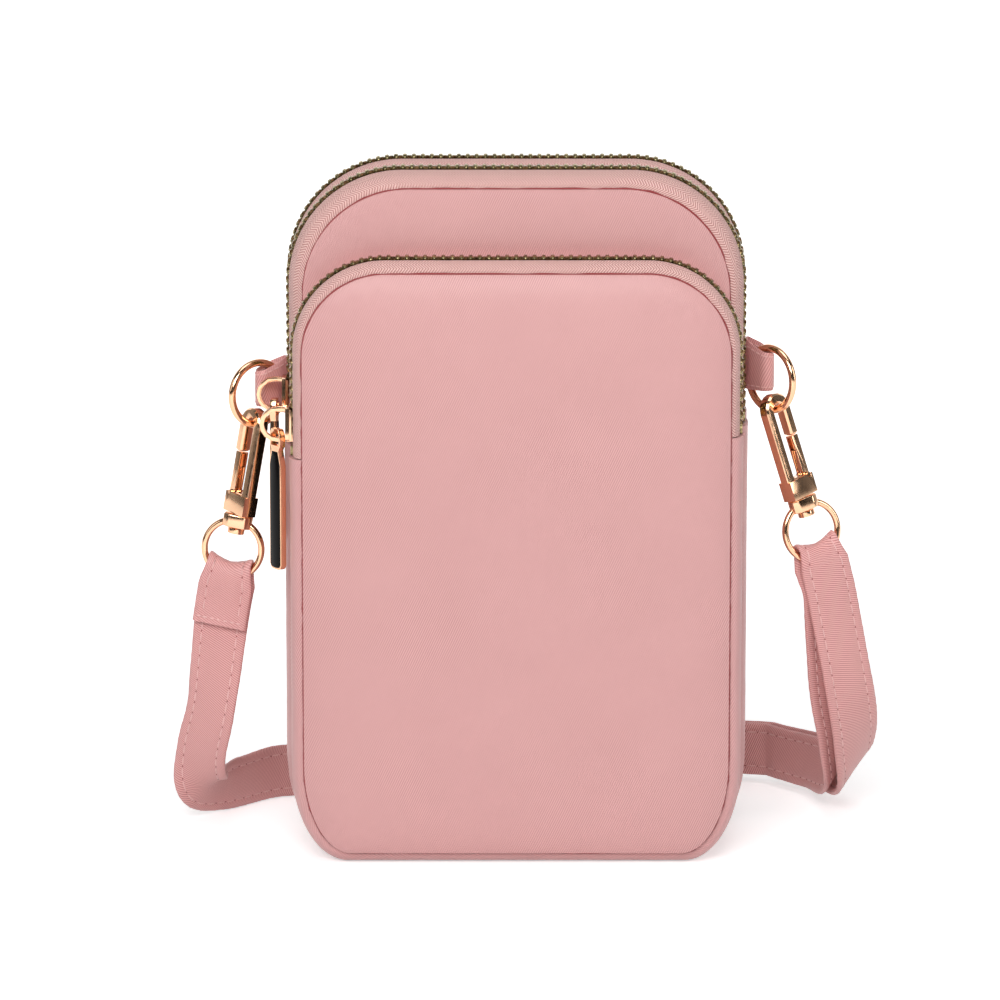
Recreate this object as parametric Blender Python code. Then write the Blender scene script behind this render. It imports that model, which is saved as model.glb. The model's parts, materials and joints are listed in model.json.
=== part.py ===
# Small upright crossbody bag with three zipped compartments, one behind another, and a clip-on strap.
# Metres, +Z up, front towards -Y. The origin is on the floor, under the middle of the bag.

import math
from collections import namedtuple

import bpy
from mathutils import Matrix, Vector

# Driving sizes of the bag's body.
WALL = 0.0012
SEAM_GAP = 0.0003
FRONT_DEPTH = 0.0142
MIDDLE_DEPTH = 0.0194
REAR_DEPTH = 0.0160
BAG_HALF_WIDTH = 0.0588
BAG_HEIGHT = 0.1888
POCKET_HEIGHT = 0.1665
BASE_LIFT = 0.0035
SIDE_BULGE = 0.0042
POCKET_BULGE = 0.0028
BELLY_SHARE = 1.35
TOP_BULGE = 0.0032
PANEL_CROWN = 0.0038
LOW_CORNER_WIDTH = 0.0130
LOW_CORNER_HEIGHT = 0.0250
POCKET_CORNER = 0.0230
BAG_CORNER = 0.0290
CORNER_GROWTH = 0.0025
CORNER_STEPS = 6
SIDE_STEPS = 3
ARCH_POWER = 2.6
FLAT_SHARE = 0.24

# Zips.
TAPE_WALL = 0.0010
CHAIN_HALF_WIDTH = 0.0021
CHAIN_STEP = 0.0004
CHAIN_RISE = 0.0006
TOOTH_PITCH = 0.0025
ZIP_RIGHT_SHARE = 0.64
ZIP_LEFT_SHARE = 0.6135
POCKET_ZIP_RIGHT_SHARE = 0.7264
POCKET_ZIP_LEFT_SHARE = 0.6896
STOP_LENGTH = 0.0026
SLIDER_LENGTH = 0.0098
SLIDER_HALF_WIDTH = 0.0041
SLIDER_PLATE = 0.0011
SLIDER_FIT = 0.0003
SLIDER_LIP = 0.0009
SLIDER_POST_LENGTH = 0.0026
SLIDER_POST_HALF_WIDTH = 0.0007
SLIDER_RISE = 0.0039
BAIL_RADIUS = 0.0043
BAIL_LEG = 0.00225
BAIL_THICK = 0.0012
BAIL_WIDTH = 0.0017
PULL_LENGTH = 0.0350
PULL_HALF_WIDTH = 0.0028
PULL_THICK = 0.0018
PULL_EYE_FIT = 0.0010
PULL_EYE_BAR = 0.0014

# Side hardware.
RING_RADIUS = 0.0087
RING_WIRE = 0.00105
FIT = 0.0003
TAB_LAYER = 0.0009
TAB_FOLD_LENGTH = 0.0104
ARM_WIDTH = 0.0028
LOOP_RADIUS = 0.0018
HOOK_THICK = 0.0036
HOOK_BASE_THICK = 0.0046
LOOP_HEIGHT = 0.0314
RIVET_HEIGHT = 0.0014
RIVET_RADIUS = 0.0024
POST_RADIUS = 0.0013
EYE_BLOCK_HEIGHT = 0.0037
EYE_BLOCK_HALF_WIDTH = 0.0040
EYE_BLOCK_HALF_DEPTH = 0.0026
EYE_RADIUS = 0.0081
EYE_WIRE = 0.00095
BASE_HEIGHT = 0.0058
NOSE_HEIGHT = 0.0230
GATE_THICK = 0.0022
GATE_HALF_DEPTH = 0.0013
GATE_WALL = 0.0005
PIN_RADIUS = 0.0006
PIN_HEIGHT = 0.0110
PIN_FIT = 0.00015
SPRING_THICK = 0.0003
OVERRUN = 0.0020

# Strap and adjuster.
STRAP_WIDTH = 0.0154
STRAP_THICK = 0.0016
CREST_WIDTH = 0.0124
CREST_DROP = 0.0046
CREST_CUP = 0.0023
HANK_BACK = 0.0500
HANK_HALF_LENGTH = 0.0520
HANK_PITCH = 0.0026
HANK_RUNS = 7
HANK_LIFT = 0.0004
ADJUSTER_X = 0.0180
ADJUSTER_BACK = 0.0745
ADJUSTER_BAR = 0.0018
ADJUSTER_SLOT = 0.0070
ADJUSTER_WALL = 0.0018
ADJUSTER_HALF_DEPTH = 0.0009

RING_SIDES = 8
RING_STEPS = 24
ROUND_SIDES = 12

Outline = namedtuple("Outline", "half_width bottom top low_width low_height high")
Band = namedtuple("Band", "name near crest belly far start depth zip_left zip_right slider twist")
Side = namedtuple("Side", "name sign ring_yaw lean eye_yaw ring_share root_shares fold_shares")


def clear_scene():
    for obj in list(bpy.data.objects):
        bpy.data.objects.remove(obj, do_unlink=True)


def material(name, colour, roughness, metallic):
    made = bpy.data.materials.get(name) or bpy.data.materials.new(name)
    made.use_nodes = True
    shader = made.node_tree.nodes["Principled BSDF"]
    shader.inputs["Base Color"].default_value = (*colour, 1)
    shader.inputs["Roughness"].default_value = roughness
    shader.inputs["Metallic"].default_value = metallic
    return made


def cloth():
    return material("pink_twill", (0.72, 0.39, 0.38), 0.55, 0)


def webbing():
    return material("pink_webbing", (0.72, 0.40, 0.39), 0.6, 0)


def tape():
    return material("pink_tape", (0.76, 0.48, 0.46), 0.7, 0)


def brass():
    return material("dark_brass", (0.24, 0.20, 0.11), 0.35, 1)


def rose_gold():
    return material("rose_gold", (0.90, 0.62, 0.45), 0.15, 1)


def black_enamel():
    return material("black_enamel", (0.02, 0.018, 0.018), 0.2, 0)


def solid(name, points, faces, look):
    mesh = bpy.data.meshes.new(name)
    mesh.from_pydata([tuple(p) for p in points], [], faces)
    mesh.update()
    mesh.materials.append(look)
    mesh.shade_smooth()
    mesh.set_sharp_from_angle(angle=math.radians(40))
    obj = bpy.data.objects.new(name, mesh)
    bpy.context.scene.collection.objects.link(obj)
    return obj


def loft(name, sections, look, wrap=False):
    """A closed body through sections of as many points each, with flat ends unless it wraps round."""
    count = len(sections[0])
    points = [p for section in sections for p in section]
    faces = []
    last = len(sections) if wrap else len(sections) - 1
    for i in range(last):
        here = i * count
        there = (i + 1) % len(sections) * count
        for j in range(count):
            k = (j + 1) % count
            faces.append((here + j, here + k, there + k, there + j))
    if not wrap:
        faces.append(tuple(reversed(range(count))))
        faces.append(tuple(range(last * count, last * count + count)))
    if volume(points, faces) < 0:
        faces = [tuple(reversed(face)) for face in faces]
    return solid(name, points, faces, look)


def volume(points, faces):
    total = 0
    for face in faces:
        first = Vector(points[face[0]])
        for a, b in zip(face[1:], face[2:]):
            total += first.dot(Vector(points[a]).cross(Vector(points[b])))
    return total


def prism(name, outline, low, high, look, frame=None):
    """An outline in the frame's X and Z, carried from low to high along its Y."""
    frame = frame or Matrix.Identity(4)
    sections = [[frame @ Vector((x, y, z)) for x, z in outline] for y in (low, high)]
    return loft(name, sections, look)


def box(name, low, high, look, frame=None):
    outline = [(low[0], low[2]), (high[0], low[2]), (high[0], high[2]), (low[0], high[2])]
    return prism(name, outline, low[1], high[1], look, frame)


def bar(name, start, end, radius, look, frame=None, sides=ROUND_SIDES):
    """A round bar between two points of the frame."""
    frame = frame or Matrix.Identity(4)
    start, end = Vector(start), Vector(end)
    turn = (end - start).to_track_quat("Z", "Y").to_matrix()
    rim = [turn @ Vector((radius * math.cos(a), radius * math.sin(a), 0)) for a in around(sides)]
    sections = [[frame @ (centre + p) for p in rim] for centre in (start, end)]
    return loft(name, sections, look)


def around(sides):
    return [math.tau * (i + 0.5) / sides for i in range(sides)]


def helper(obj):
    obj.hide_render = True
    obj.display_type = "WIRE"
    return obj


def combine(obj, other, operation):
    step = obj.modifiers.new(other.name, "BOOLEAN")
    step.operation = operation
    step.object = helper(other)


def bevel(obj, width, segments=1):
    step = obj.modifiers.new("edges", "BEVEL")
    step.width = width
    step.segments = segments
    step.limit_method = "ANGLE"
    step.angle_limit = math.radians(35)


def hinge_at(obj, pivot):
    """Puts a moving piece's origin on its joint's axis, with its shape left where it is."""
    obj.data.transform(Matrix.Translation(-Vector(pivot)))
    obj.location = pivot


def arc(centre, radii, start, end, steps):
    """Points on an ellipse between two angles in degrees, both ends included."""
    turn = [math.radians(start + (end - start) * i / steps) for i in range(steps + 1)]
    return [(centre[0] + radii[0] * math.cos(a), centre[1] + radii[1] * math.sin(a)) for a in turn]


def straight(start, end, steps):
    """Points from start to end, with the start left out."""
    share = [(i + 1) / steps for i in range(steps)]
    return [tuple(a + (b - a) * s for a, b in zip(start, end)) for s in share]


def lower_run(o, left_end, right_end, steps=CORNER_STEPS):
    """Round the bottom, from the left zip end to the right one."""
    w, z = o.half_width, o.bottom + o.low_height
    run = [(-w, left_end)]
    run += straight(run[-1], (-w, z), SIDE_STEPS)
    run += arc((-w + o.low_width, z), (o.low_width, o.low_height), 180, 270, steps)[1:]
    run += straight(run[-1], (w - o.low_width, o.bottom), SIDE_STEPS)
    run += arc((w - o.low_width, z), (o.low_width, o.low_height), 270, 360, steps)[1:]
    run += straight(run[-1], (w, right_end), SIDE_STEPS)
    return run


def upper_run(o, left_end, right_end, steps=CORNER_STEPS):
    """Over the top, from the right zip end to the left one."""
    w, z = o.half_width, o.top - o.high
    run = [(w, right_end)]
    run += straight(run[-1], (w, z), SIDE_STEPS)
    run += arc((w - o.high, z), (o.high, o.high), 0, 90, steps)[1:]
    run += straight(run[-1], (-w + o.high, o.top), SIDE_STEPS)
    run += arc((-w + o.high, z), (o.high, o.high), 90, 180, steps)[1:]
    run += straight(run[-1], (-w, left_end), SIDE_STEPS)
    return run


def inset(o, by):
    low = max(o.low_width - by, o.low_width / 3)
    return Outline(
        o.half_width - by,
        o.bottom + by,
        o.top - by,
        low,
        max(o.low_height - by, o.low_height / 3),
        max(o.high - by, o.high / 3),
    )


def seam(half_width, top, corner):
    return Outline(half_width, BASE_LIFT, top, LOW_CORNER_WIDTH, LOW_CORNER_HEIGHT, corner)


def crest(edge, side_bulge=SIDE_BULGE, top_bulge=TOP_BULGE):
    """The outline of a gusset's fullest line, outside its seam."""
    grow = CORNER_GROWTH
    return Outline(
        edge.half_width + side_bulge,
        edge.bottom - BASE_LIFT,
        edge.top + top_bulge,
        edge.low_width + grow,
        edge.low_height + grow,
        edge.high + grow,
    )


FRONT_SEAM = seam(BAG_HALF_WIDTH, POCKET_HEIGHT, POCKET_CORNER)
POCKET_BACK_SEAM = seam(BAG_HALF_WIDTH, POCKET_HEIGHT, POCKET_CORNER)
MIDDLE_SEAM = seam(BAG_HALF_WIDTH, BAG_HEIGHT - CORNER_GROWTH / 2, BAG_CORNER)
REAR_SEAM = seam(BAG_HALF_WIDTH + SEAM_GAP, BAG_HEIGHT, BAG_CORNER)
BACK_SEAM = seam(BAG_HALF_WIDTH, BAG_HEIGHT, BAG_CORNER)
STACK = FRONT_DEPTH + MIDDLE_DEPTH + REAR_DEPTH + 4 * WALL
FRONT_FACE = -STACK / 2
POCKET_BACK = FRONT_FACE + WALL + FRONT_DEPTH
REAR_PARTITION = POCKET_BACK + WALL + MIDDLE_DEPTH
BACK_PANEL = REAR_PARTITION + WALL + REAR_DEPTH


def bands():
    """The three gussets with their zips, front to back."""
    above = SLIDER_LENGTH / 2 + STOP_LENGTH + 4 * FIT
    pocket_left, pocket_right = POCKET_HEIGHT * POCKET_ZIP_LEFT_SHARE, POCKET_HEIGHT * POCKET_ZIP_RIGHT_SHARE
    left, right = BAG_HEIGHT * ZIP_LEFT_SHARE, BAG_HEIGHT * ZIP_RIGHT_SHARE
    front = Band(
        "front",
        FRONT_SEAM,
        crest(FRONT_SEAM, POCKET_BULGE),
        crest(FRONT_SEAM, POCKET_BULGE * BELLY_SHARE),
        POCKET_BACK_SEAM,
        FRONT_FACE + WALL + SEAM_GAP,
        FRONT_DEPTH - 2 * SEAM_GAP,
        pocket_left,
        pocket_right,
        pocket_left + above,
        -35,
    )
    middle = Band(
        "middle",
        MIDDLE_SEAM,
        crest(MIDDLE_SEAM, top_bulge=TOP_BULGE + CORNER_GROWTH / 2),
        crest(MIDDLE_SEAM, SIDE_BULGE * BELLY_SHARE),
        REAR_SEAM,
        POCKET_BACK + WALL + SEAM_GAP,
        MIDDLE_DEPTH - 2 * SEAM_GAP,
        left,
        right,
        left + above + SLIDER_RISE,
        8,
    )
    rear = Band(
        "rear",
        REAR_SEAM,
        crest(REAR_SEAM),
        crest(REAR_SEAM, SIDE_BULGE * BELLY_SHARE),
        BACK_SEAM,
        REAR_PARTITION + WALL + SEAM_GAP,
        REAR_DEPTH - 2 * SEAM_GAP,
        left,
        right,
        left + above,
        0,
    )
    return front, middle, rear


def arch(v):
    """How far a gusset bulges at a share of its depth, flat along its middle."""
    off = max(abs(2 * v - 1), FLAT_SHARE)
    return ((1 - off**ARCH_POWER) / (1 - FLAT_SHARE**ARCH_POWER)) ** (1 / ARCH_POWER)


def offset(line, by):
    """The open line of (depth, height) points moved to its right-hand side."""
    moved = []
    for i, (x, y) in enumerate(line):
        normals = []
        for a, b in ((i - 1, i), (i, i + 1)):
            if a >= 0 and b < len(line):
                along = Vector(line[b]) - Vector(line[a])
                normals.append(Vector((along.y, -along.x)).normalized())
        total = sum(normals, Vector((0, 0)))
        total = total / total.length
        reach = by / max(total.dot(normals[0]), 0.5)
        moved.append((x + total.x * reach, y + total.y * reach))
    return moved


def band_sections(band, fullest, run, shares, wall, left_end, right_end):
    """Cross-sections of a bulging strip: shares are how deep each outer point lies between the two seams."""
    near, full, far = (run(o, left_end, right_end) for o in (band.near, fullest, band.far))
    sections = []
    for a, m, b in zip(near, full, far):
        a, m, b = Vector(a), Vector(m), Vector(b)
        out = m - (a + b) / 2
        height = out.length
        line = [(v * band.depth, arch(v) * height) for v in shares]
        ring = line + offset(line, wall)[::-1]
        section = []
        for depth, rise in ring:
            place = a + (b - a) * (depth / band.depth) + out / height * rise
            section.append((place.x, band.start + depth, place.y))
        sections.append(section)
    return sections


GUSSET_SHARES = (0, 0.06, 0.18, 0.5 - FLAT_SHARE / 2, 0.5 + FLAT_SHARE / 2, 0.82, 0.94, 1)


def gusset(band):
    left, right = band.zip_left - SEAM_GAP / 2, band.zip_right - SEAM_GAP / 2
    sections = band_sections(band, band.belly, lower_run, GUSSET_SHARES, WALL, left, right)
    loft(f"{band.name}_gusset", sections, cloth())


def tapes(band):
    """The two halves of the zip's woven tape, one on each side of the chain."""
    edge = (CHAIN_HALF_WIDTH + FIT) / band.depth
    left, right = band.zip_left + SEAM_GAP / 2, band.zip_right + SEAM_GAP / 2
    near = (0, 0.07, 0.2, 0.5 - edge)
    for place, shares in (("outer", near), ("inner", tuple(1 - v for v in reversed(near)))):
        sections = band_sections(band, band.crest, upper_run, shares, TAPE_WALL, left, right)
        loft(f"{band.name}_zip_tape_{place}", sections, tape())


def walk(points, step):
    """Places at even steps along a polyline, each with the direction that points out of the bag."""
    places = []
    travelled, due = 0.0, 0.0
    for a, b in zip(points, points[1:]):
        a, b = Vector(a), Vector(b)
        length = (b - a).length
        along = (b - a) / length
        while due <= travelled + length:
            places.append((a + along * (due - travelled), Vector((along.y, -along.x))))
            due += step
        travelled += length
    return places


def chain_height():
    return TAPE_WALL + 2 * CHAIN_RISE


def chain(band):
    """Meshed teeth: the two rows stand up in turn, half a pitch apart."""
    start = band.zip_right + STOP_LENGTH + 2 * FIT
    end = band.slider - SLIDER_LENGTH / 2 + SLIDER_POST_LENGTH + FIT
    fine = 4 * CORNER_STEPS
    path = upper_run(band.crest, end, start, fine)
    middle = band.start + band.depth / 2
    sections = []
    for i, (place, out) in enumerate(walk(path, TOOTH_PITCH / 2)):
        front_high = i % 2 == 0
        section = []
        for side, rise in ((-1, -TAPE_WALL - CHAIN_RISE), (-1, CHAIN_RISE), (1, CHAIN_RISE), (1, -TAPE_WALL - CHAIN_RISE)):
            tall = front_high == (side < 0)
            reach = CHAIN_HALF_WIDTH if tall else CHAIN_HALF_WIDTH - CHAIN_STEP
            lift = rise if tall or rise < 0 else rise - CHAIN_STEP
            spot = place + out * lift
            section.append((spot.x, middle + side * reach, spot.y))
        sections.append(section)
    loft(f"{band.name}_zip_teeth", sections, brass())


def zip_stops(band):
    """One stop at the far end, and one on each tape below the slider."""
    middle = band.start + band.depth / 2
    reach = band.crest.half_width
    outer, inner = reach + CHAIN_RISE, reach - TAPE_WALL - CHAIN_RISE
    low = band.zip_right + FIT
    box(
        f"{band.name}_zip_bottom_stop",
        (inner, middle - CHAIN_HALF_WIDTH, low),
        (outer, middle + CHAIN_HALF_WIDTH, low + STOP_LENGTH),
        brass(),
    )
    low = band.zip_left + FIT
    for side, place in ((-1, "outer"), (1, "inner")):
        near, far = sorted((middle + side * FIT / 2, middle + side * CHAIN_HALF_WIDTH))
        box(
            f"{band.name}_zip_top_stop_{place}",
            (-outer, near, low),
            (-inner, far, low + STOP_LENGTH),
            brass(),
        )


def slider_frame(band):
    """Origin at the slider's middle on the tape's face: X out of the bag, Y towards its back, Z up the zip."""
    place = Vector((-band.crest.half_width, band.start + band.depth / 2, band.slider))
    frame = Matrix(((-1, 0, 0), (0, 1, 0), (0, 0, 1))).to_4x4()
    frame.translation = place
    return frame


def slider(band):
    name = f"{band.name}_zip_slider"
    frame = slider_frame(band)
    half, wide = SLIDER_LENGTH / 2, SLIDER_HALF_WIDTH
    top = CHAIN_RISE + SLIDER_FIT
    bottom = -TAPE_WALL - CHAIN_RISE - SLIDER_FIT
    narrow = wide * 0.8
    body = slider_plate(name, frame, top, top + SLIDER_PLATE, half, wide, narrow)
    under = slider_plate(name + "_under", frame, bottom - SLIDER_PLATE, bottom, half, wide, narrow)
    combine(body, under, "UNION")
    post = box(
        name + "_post",
        (bottom - SLIDER_PLATE / 2, -SLIDER_POST_HALF_WIDTH, -half),
        (top + SLIDER_PLATE / 2, SLIDER_POST_HALF_WIDTH, -half + SLIDER_POST_LENGTH - FIT),
        rose_gold(),
        frame,
    )
    combine(body, post, "UNION")
    for side in (-1, 1):
        near, far = sorted((side * (narrow - SLIDER_LIP), side * (narrow - SLIDER_LIP / 4)))
        lip = box(
            f"{name}_lip_{side + 1}",
            (SLIDER_FIT, near, -half * 0.9),
            (top + SLIDER_PLATE / 2, far, half * 0.9),
            rose_gold(),
            frame,
        )
        combine(body, lip, "UNION")
        low_lip = box(
            f"{name}_low_lip_{side + 1}",
            (bottom - SLIDER_PLATE / 2, near, -half * 0.9),
            (-TAPE_WALL - 2 * SLIDER_FIT, far, half * 0.9),
            rose_gold(),
            frame,
        )
        combine(body, low_lip, "UNION")
    combine(body, bail(name + "_bail", frame, top + SLIDER_PLATE), "UNION")
    hinge_at(body, frame.translation)


def slider_plate(name, frame, low, high, half, wide, narrow):
    """A plate seen from above as a shield: broad at the shoulders where the tapes part, narrow at the tail."""
    nib = narrow / 2
    outline = [(-wide, -half * 0.75), (-nib, -half), (nib, -half), (wide, -half * 0.75)]
    outline += [(wide, -half * 0.2), (narrow, half * 0.35), (narrow, half), (-narrow, half)]
    outline += [(-narrow, half * 0.35), (-wide, -half * 0.2)]
    sections = [[frame @ Vector((x, y, z)) for y, z in outline] for x in (low, high)]
    return loft(name, sections, rose_gold())


def bail(name, frame, foot):
    """The arched bridge that carries the pull: two short legs and a half round."""
    line = [(foot - SLIDER_PLATE / 2, -BAIL_RADIUS, 1, 0)]
    for i in range(9):
        a = math.pi * (i / 8) - math.pi / 2
        line.append((foot + BAIL_LEG + BAIL_RADIUS * math.cos(a), BAIL_RADIUS * math.sin(a), -math.sin(a), math.cos(a)))
    line.append((foot - SLIDER_PLATE / 2, BAIL_RADIUS, -1, 0))
    sections = []
    for x, z, along_x, along_z in line:
        section = []
        for across, side in ((-1, -1), (1, -1), (1, 1), (-1, 1)):
            shift = across * BAIL_THICK / 2
            section.append(frame @ Vector((x + along_z * shift, side * BAIL_WIDTH / 2, z - along_x * shift)))
        sections.append(section)
    return loft(name, sections, rose_gold())


def pull_pivot(band):
    return slider_frame(band) @ Vector((CHAIN_RISE + SLIDER_FIT + SLIDER_PLATE + BAIL_LEG, 0, 0))


def pull_frame(band):
    """Origin where the pull hinges; the blade hangs down its Z, turned on the bail by the band's twist."""
    frame = slider_frame(band)
    frame.translation = pull_pivot(band)
    return frame @ Matrix.Rotation(math.radians(band.twist), 4, "Z")


def pull_levels():
    """Heights below the hinge: the pull's top, the eye's top and bottom, the waist, the shoulder and the foot."""
    wire = BAIL_THICK / 2 + PULL_EYE_FIT
    eye_top, eye_foot = -BAIL_RADIUS + wire, -BAIL_RADIUS - wire
    waist = eye_foot - PULL_EYE_BAR
    return eye_top + PULL_EYE_BAR, eye_top, eye_foot, waist, waist - 3 * PULL_EYE_BAR, eye_foot - PULL_LENGTH


def pull_outline():
    """Half of the blade's outline, from its top to its foot: (share of half width, height)."""
    top, eye_top, eye_foot, waist, shoulder, foot = pull_levels()
    corner = PULL_HALF_WIDTH / 2
    return [
        (0.6, top),
        (0.9, eye_top),
        (0.9, eye_foot),
        (0.6, waist),
        (1, shoulder),
        (1, foot + corner),
        (0.8, foot + corner / 4),
        (0.5, foot),
    ]


def pull(band):
    """A long bar with an eye and a waist, that hangs from the bail's lower leg."""
    frame = pull_frame(band)
    eye_top, eye_foot = pull_levels()[1:3]
    outline = [(-share * PULL_HALF_WIDTH, z) for share, z in pull_outline()]
    outline += [(-x, z) for x, z in reversed(outline)]
    sections = [[frame @ Vector((x, y, z)) for y, z in outline] for x in (-PULL_THICK / 2, PULL_THICK / 2)]
    body = loft(f"{band.name}_zip_pull", sections, black_enamel())
    eye = box(
        f"{band.name}_zip_pull_eye",
        (-PULL_THICK, -BAIL_WIDTH / 2 - PULL_EYE_FIT, eye_foot),
        (PULL_THICK, BAIL_WIDTH / 2 + PULL_EYE_FIT, eye_top),
        rose_gold(),
        frame,
    )
    combine(body, eye, "DIFFERENCE")
    hinge_at(body, pull_pivot(band))


def panel(name, outline, face, crown, look, towards=-1):
    """A cloth panel with an even wall, crowned towards one side."""
    depth_shares = ((0, 0), (0.04, 0.35), (0.14, 0.68), (0.36, 0.9), (0.66, 1))
    half = outline.half_width
    rings = []
    for edge_share, crown_share in depth_shares:
        shape = inset(outline, edge_share * half)
        middle = shape.bottom + shape.low_height
        loop = lower_run(shape, middle + half, middle + half) + upper_run(shape, middle + half, middle + half)[1:-1]
        rings.append((loop, towards * crown_share * crown))
    outside = face if towards < 0 else face + WALL
    inside = face + WALL if towards < 0 else face
    sections = [[(x, outside + rise, z) for x, z in loop] for loop, rise in reversed(rings)]
    sections += [[(x, inside + rise, z) for x, z in loop] for loop, rise in rings]
    return loft(name, sections, look)


def partition(name, outline, face):
    middle = outline.bottom + outline.low_height + outline.half_width
    loop = lower_run(outline, middle, middle) + upper_run(outline, middle, middle)[1:-1]
    prism(name, loop, face, face + WALL, cloth())


def side_frame(x, y, z):
    frame = Matrix((x, y, z)).transposed().to_4x4()
    return frame


# Yaw and lean in degrees, and heights as shares of the bag's height.
SIDES = (
    Side("left", -1, 38, 10, 10, 0.6768, (0.6541, 0.7351), (0.6578, 0.7097)),
    Side("right", 1, 48, 17, 24, 0.7000, (0.6784, 0.7622), (0.6822, 0.7378)),
)


def outward(side):
    """The way the tab leaves the bag, level, turned a little to the front."""
    yaw = math.radians(side.ring_yaw)
    return Vector((side.sign * math.cos(yaw), -math.sin(yaw), 0))


def tab_root(side):
    reach = crest(REAR_SEAM).half_width + FIT + RING_WIRE / 2
    return Vector((side.sign * reach, REAR_PARTITION + WALL / 2, BAG_HEIGHT * side.ring_share))


def ring_centre(side):
    return tab_root(side) + outward(side) * (RING_RADIUS + RING_WIRE + FIT)


def ring_turn(side):
    """How far round from the ring's lowest point the hook hangs, so that its wire crosses the hook squarely."""
    yaw, lean = math.radians(side.ring_yaw), math.radians(side.lean)
    return math.atan(math.cos(yaw) * math.tan(lean))


def hook_axis(side):
    lean = math.radians(side.lean)
    return Vector((-side.sign * math.sin(lean), 0, math.cos(lean)))


def hook_frame(side):
    """Origin at the rivet's foot on the post's axis, Z up the hook, X from its spine to its nose."""
    turn = ring_turn(side)
    cross = ring_centre(side) + RING_RADIUS * (outward(side) * math.sin(turn) - Vector((0, 0, math.cos(turn))))
    up = hook_axis(side)
    wire = outward(side) * math.cos(turn) + Vector((0, 0, math.sin(turn)))
    depth = wire * -side.sign
    across = depth.cross(up).normalized()
    frame = side_frame(across, depth, up)
    frame.translation = cross - up * LOOP_HEIGHT
    return frame


def eye_frame(side):
    """Origin at the eye ring's centre, Z along the post, X along the ring's level width, Y through it."""
    up = hook_axis(side)
    yaw = math.radians(side.eye_yaw)
    level = Vector((math.cos(yaw), side.sign * math.sin(yaw), 0))
    level = (level - up * level.dot(up)).normalized()
    frame = side_frame(level, up.cross(level), up)
    drop = RIVET_HEIGHT + FIT + EYE_BLOCK_HEIGHT / 2 - EYE_RADIUS
    frame.translation = hook_frame(side).translation + up * drop
    return frame


def torus(name, frame, radius, wire, look):
    sections = []
    for i in range(RING_STEPS):
        a = math.tau * (i + 0.5) / RING_STEPS
        section = []
        for b in around(RING_SIDES):
            reach = radius + wire * math.cos(b)
            section.append(frame @ Vector((reach * math.cos(a), wire * math.sin(b), reach * math.sin(a))))
        sections.append(section)
    return loft(name, sections, look, wrap=True)


def tab(side):
    """A sewn cloth loop: a flat root between two gussets, then two layers round the ring, tapered to the fold."""
    out, root = outward(side), tab_root(side)
    across = Vector((-out.y, out.x, 0)) * side.sign
    start = Vector((side.sign * (REAR_SEAM.half_width + FIT), root.y, 0))
    slot = RING_WIRE + FIT
    half = slot + TAB_LAYER
    fold = TAB_FOLD_LENGTH - half
    thin = TAB_LAYER * 0.6
    line = [(start, thin), (root - out * slot, thin), (root + out * slot / 2, half), (root + out * fold, half)]
    outer = [Vector((p.x, p.y, 0)) + across * (w if i > 1 else 0) + Vector((0, w if i < 2 else 0, 0)) for i, (p, w) in enumerate(line)]
    lower = [Vector((p.x, p.y, 0)) - across * (w if i > 1 else 0) - Vector((0, w if i < 2 else 0, 0)) for i, (p, w) in enumerate(line)]
    end = root + out * fold
    tip = [Vector((end.x, end.y, 0)) + out * half * math.sin(a) + across * half * math.cos(a) for a in (math.pi / 4, math.pi / 2, 3 * math.pi / 4)]
    plan = outer + tip + lower[::-1]
    reach = (end + out * half - start).dot(out)
    sections = []
    for level in (0, 1):
        section = []
        for p in plan:
            share = min(max((p - Vector((start.x, start.y, 0))).dot(out) / reach, 0), 1)
            ends = side.root_shares[level], side.fold_shares[level]
            section.append((p.x, p.y, BAG_HEIGHT * (ends[0] + (ends[1] - ends[0]) * share)))
        sections.append(section)
    body = loft(f"{side.name}_tab", sections, cloth())
    frame = side_frame(out, across, Vector((0, 0, 1)))
    frame.translation = Vector((root.x, root.y, 0))
    cut = [(0, -slot), (fold, -slot)]
    cut += [(fold + slot * math.sin(a), -slot * math.cos(a)) for a in (math.pi / 4, math.pi / 2, 3 * math.pi / 4)]
    cut += [(fold, slot), (0, slot)]
    low, high = BAG_HEIGHT * side.root_shares[0] - OVERRUN, BAG_HEIGHT * side.root_shares[1] + OVERRUN
    sections = [[frame @ Vector((x, y, z)) for x, y in cut] for z in (low, high)]
    combine(body, loft(f"{side.name}_tab_slot", sections, cloth()), "DIFFERENCE")


def tab_ring(side):
    out = outward(side)
    frame = side_frame(out, Vector((0, 0, 1)).cross(out), Vector((0, 0, 1)))
    frame.translation = ring_centre(side)
    ring = torus(f"{side.name}_tab_ring", frame, RING_RADIUS, RING_WIRE, rose_gold())
    hinge_at(ring, ring_centre(side))


def hook_base():
    return RIVET_HEIGHT + 2 * FIT + EYE_BLOCK_HEIGHT


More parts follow.
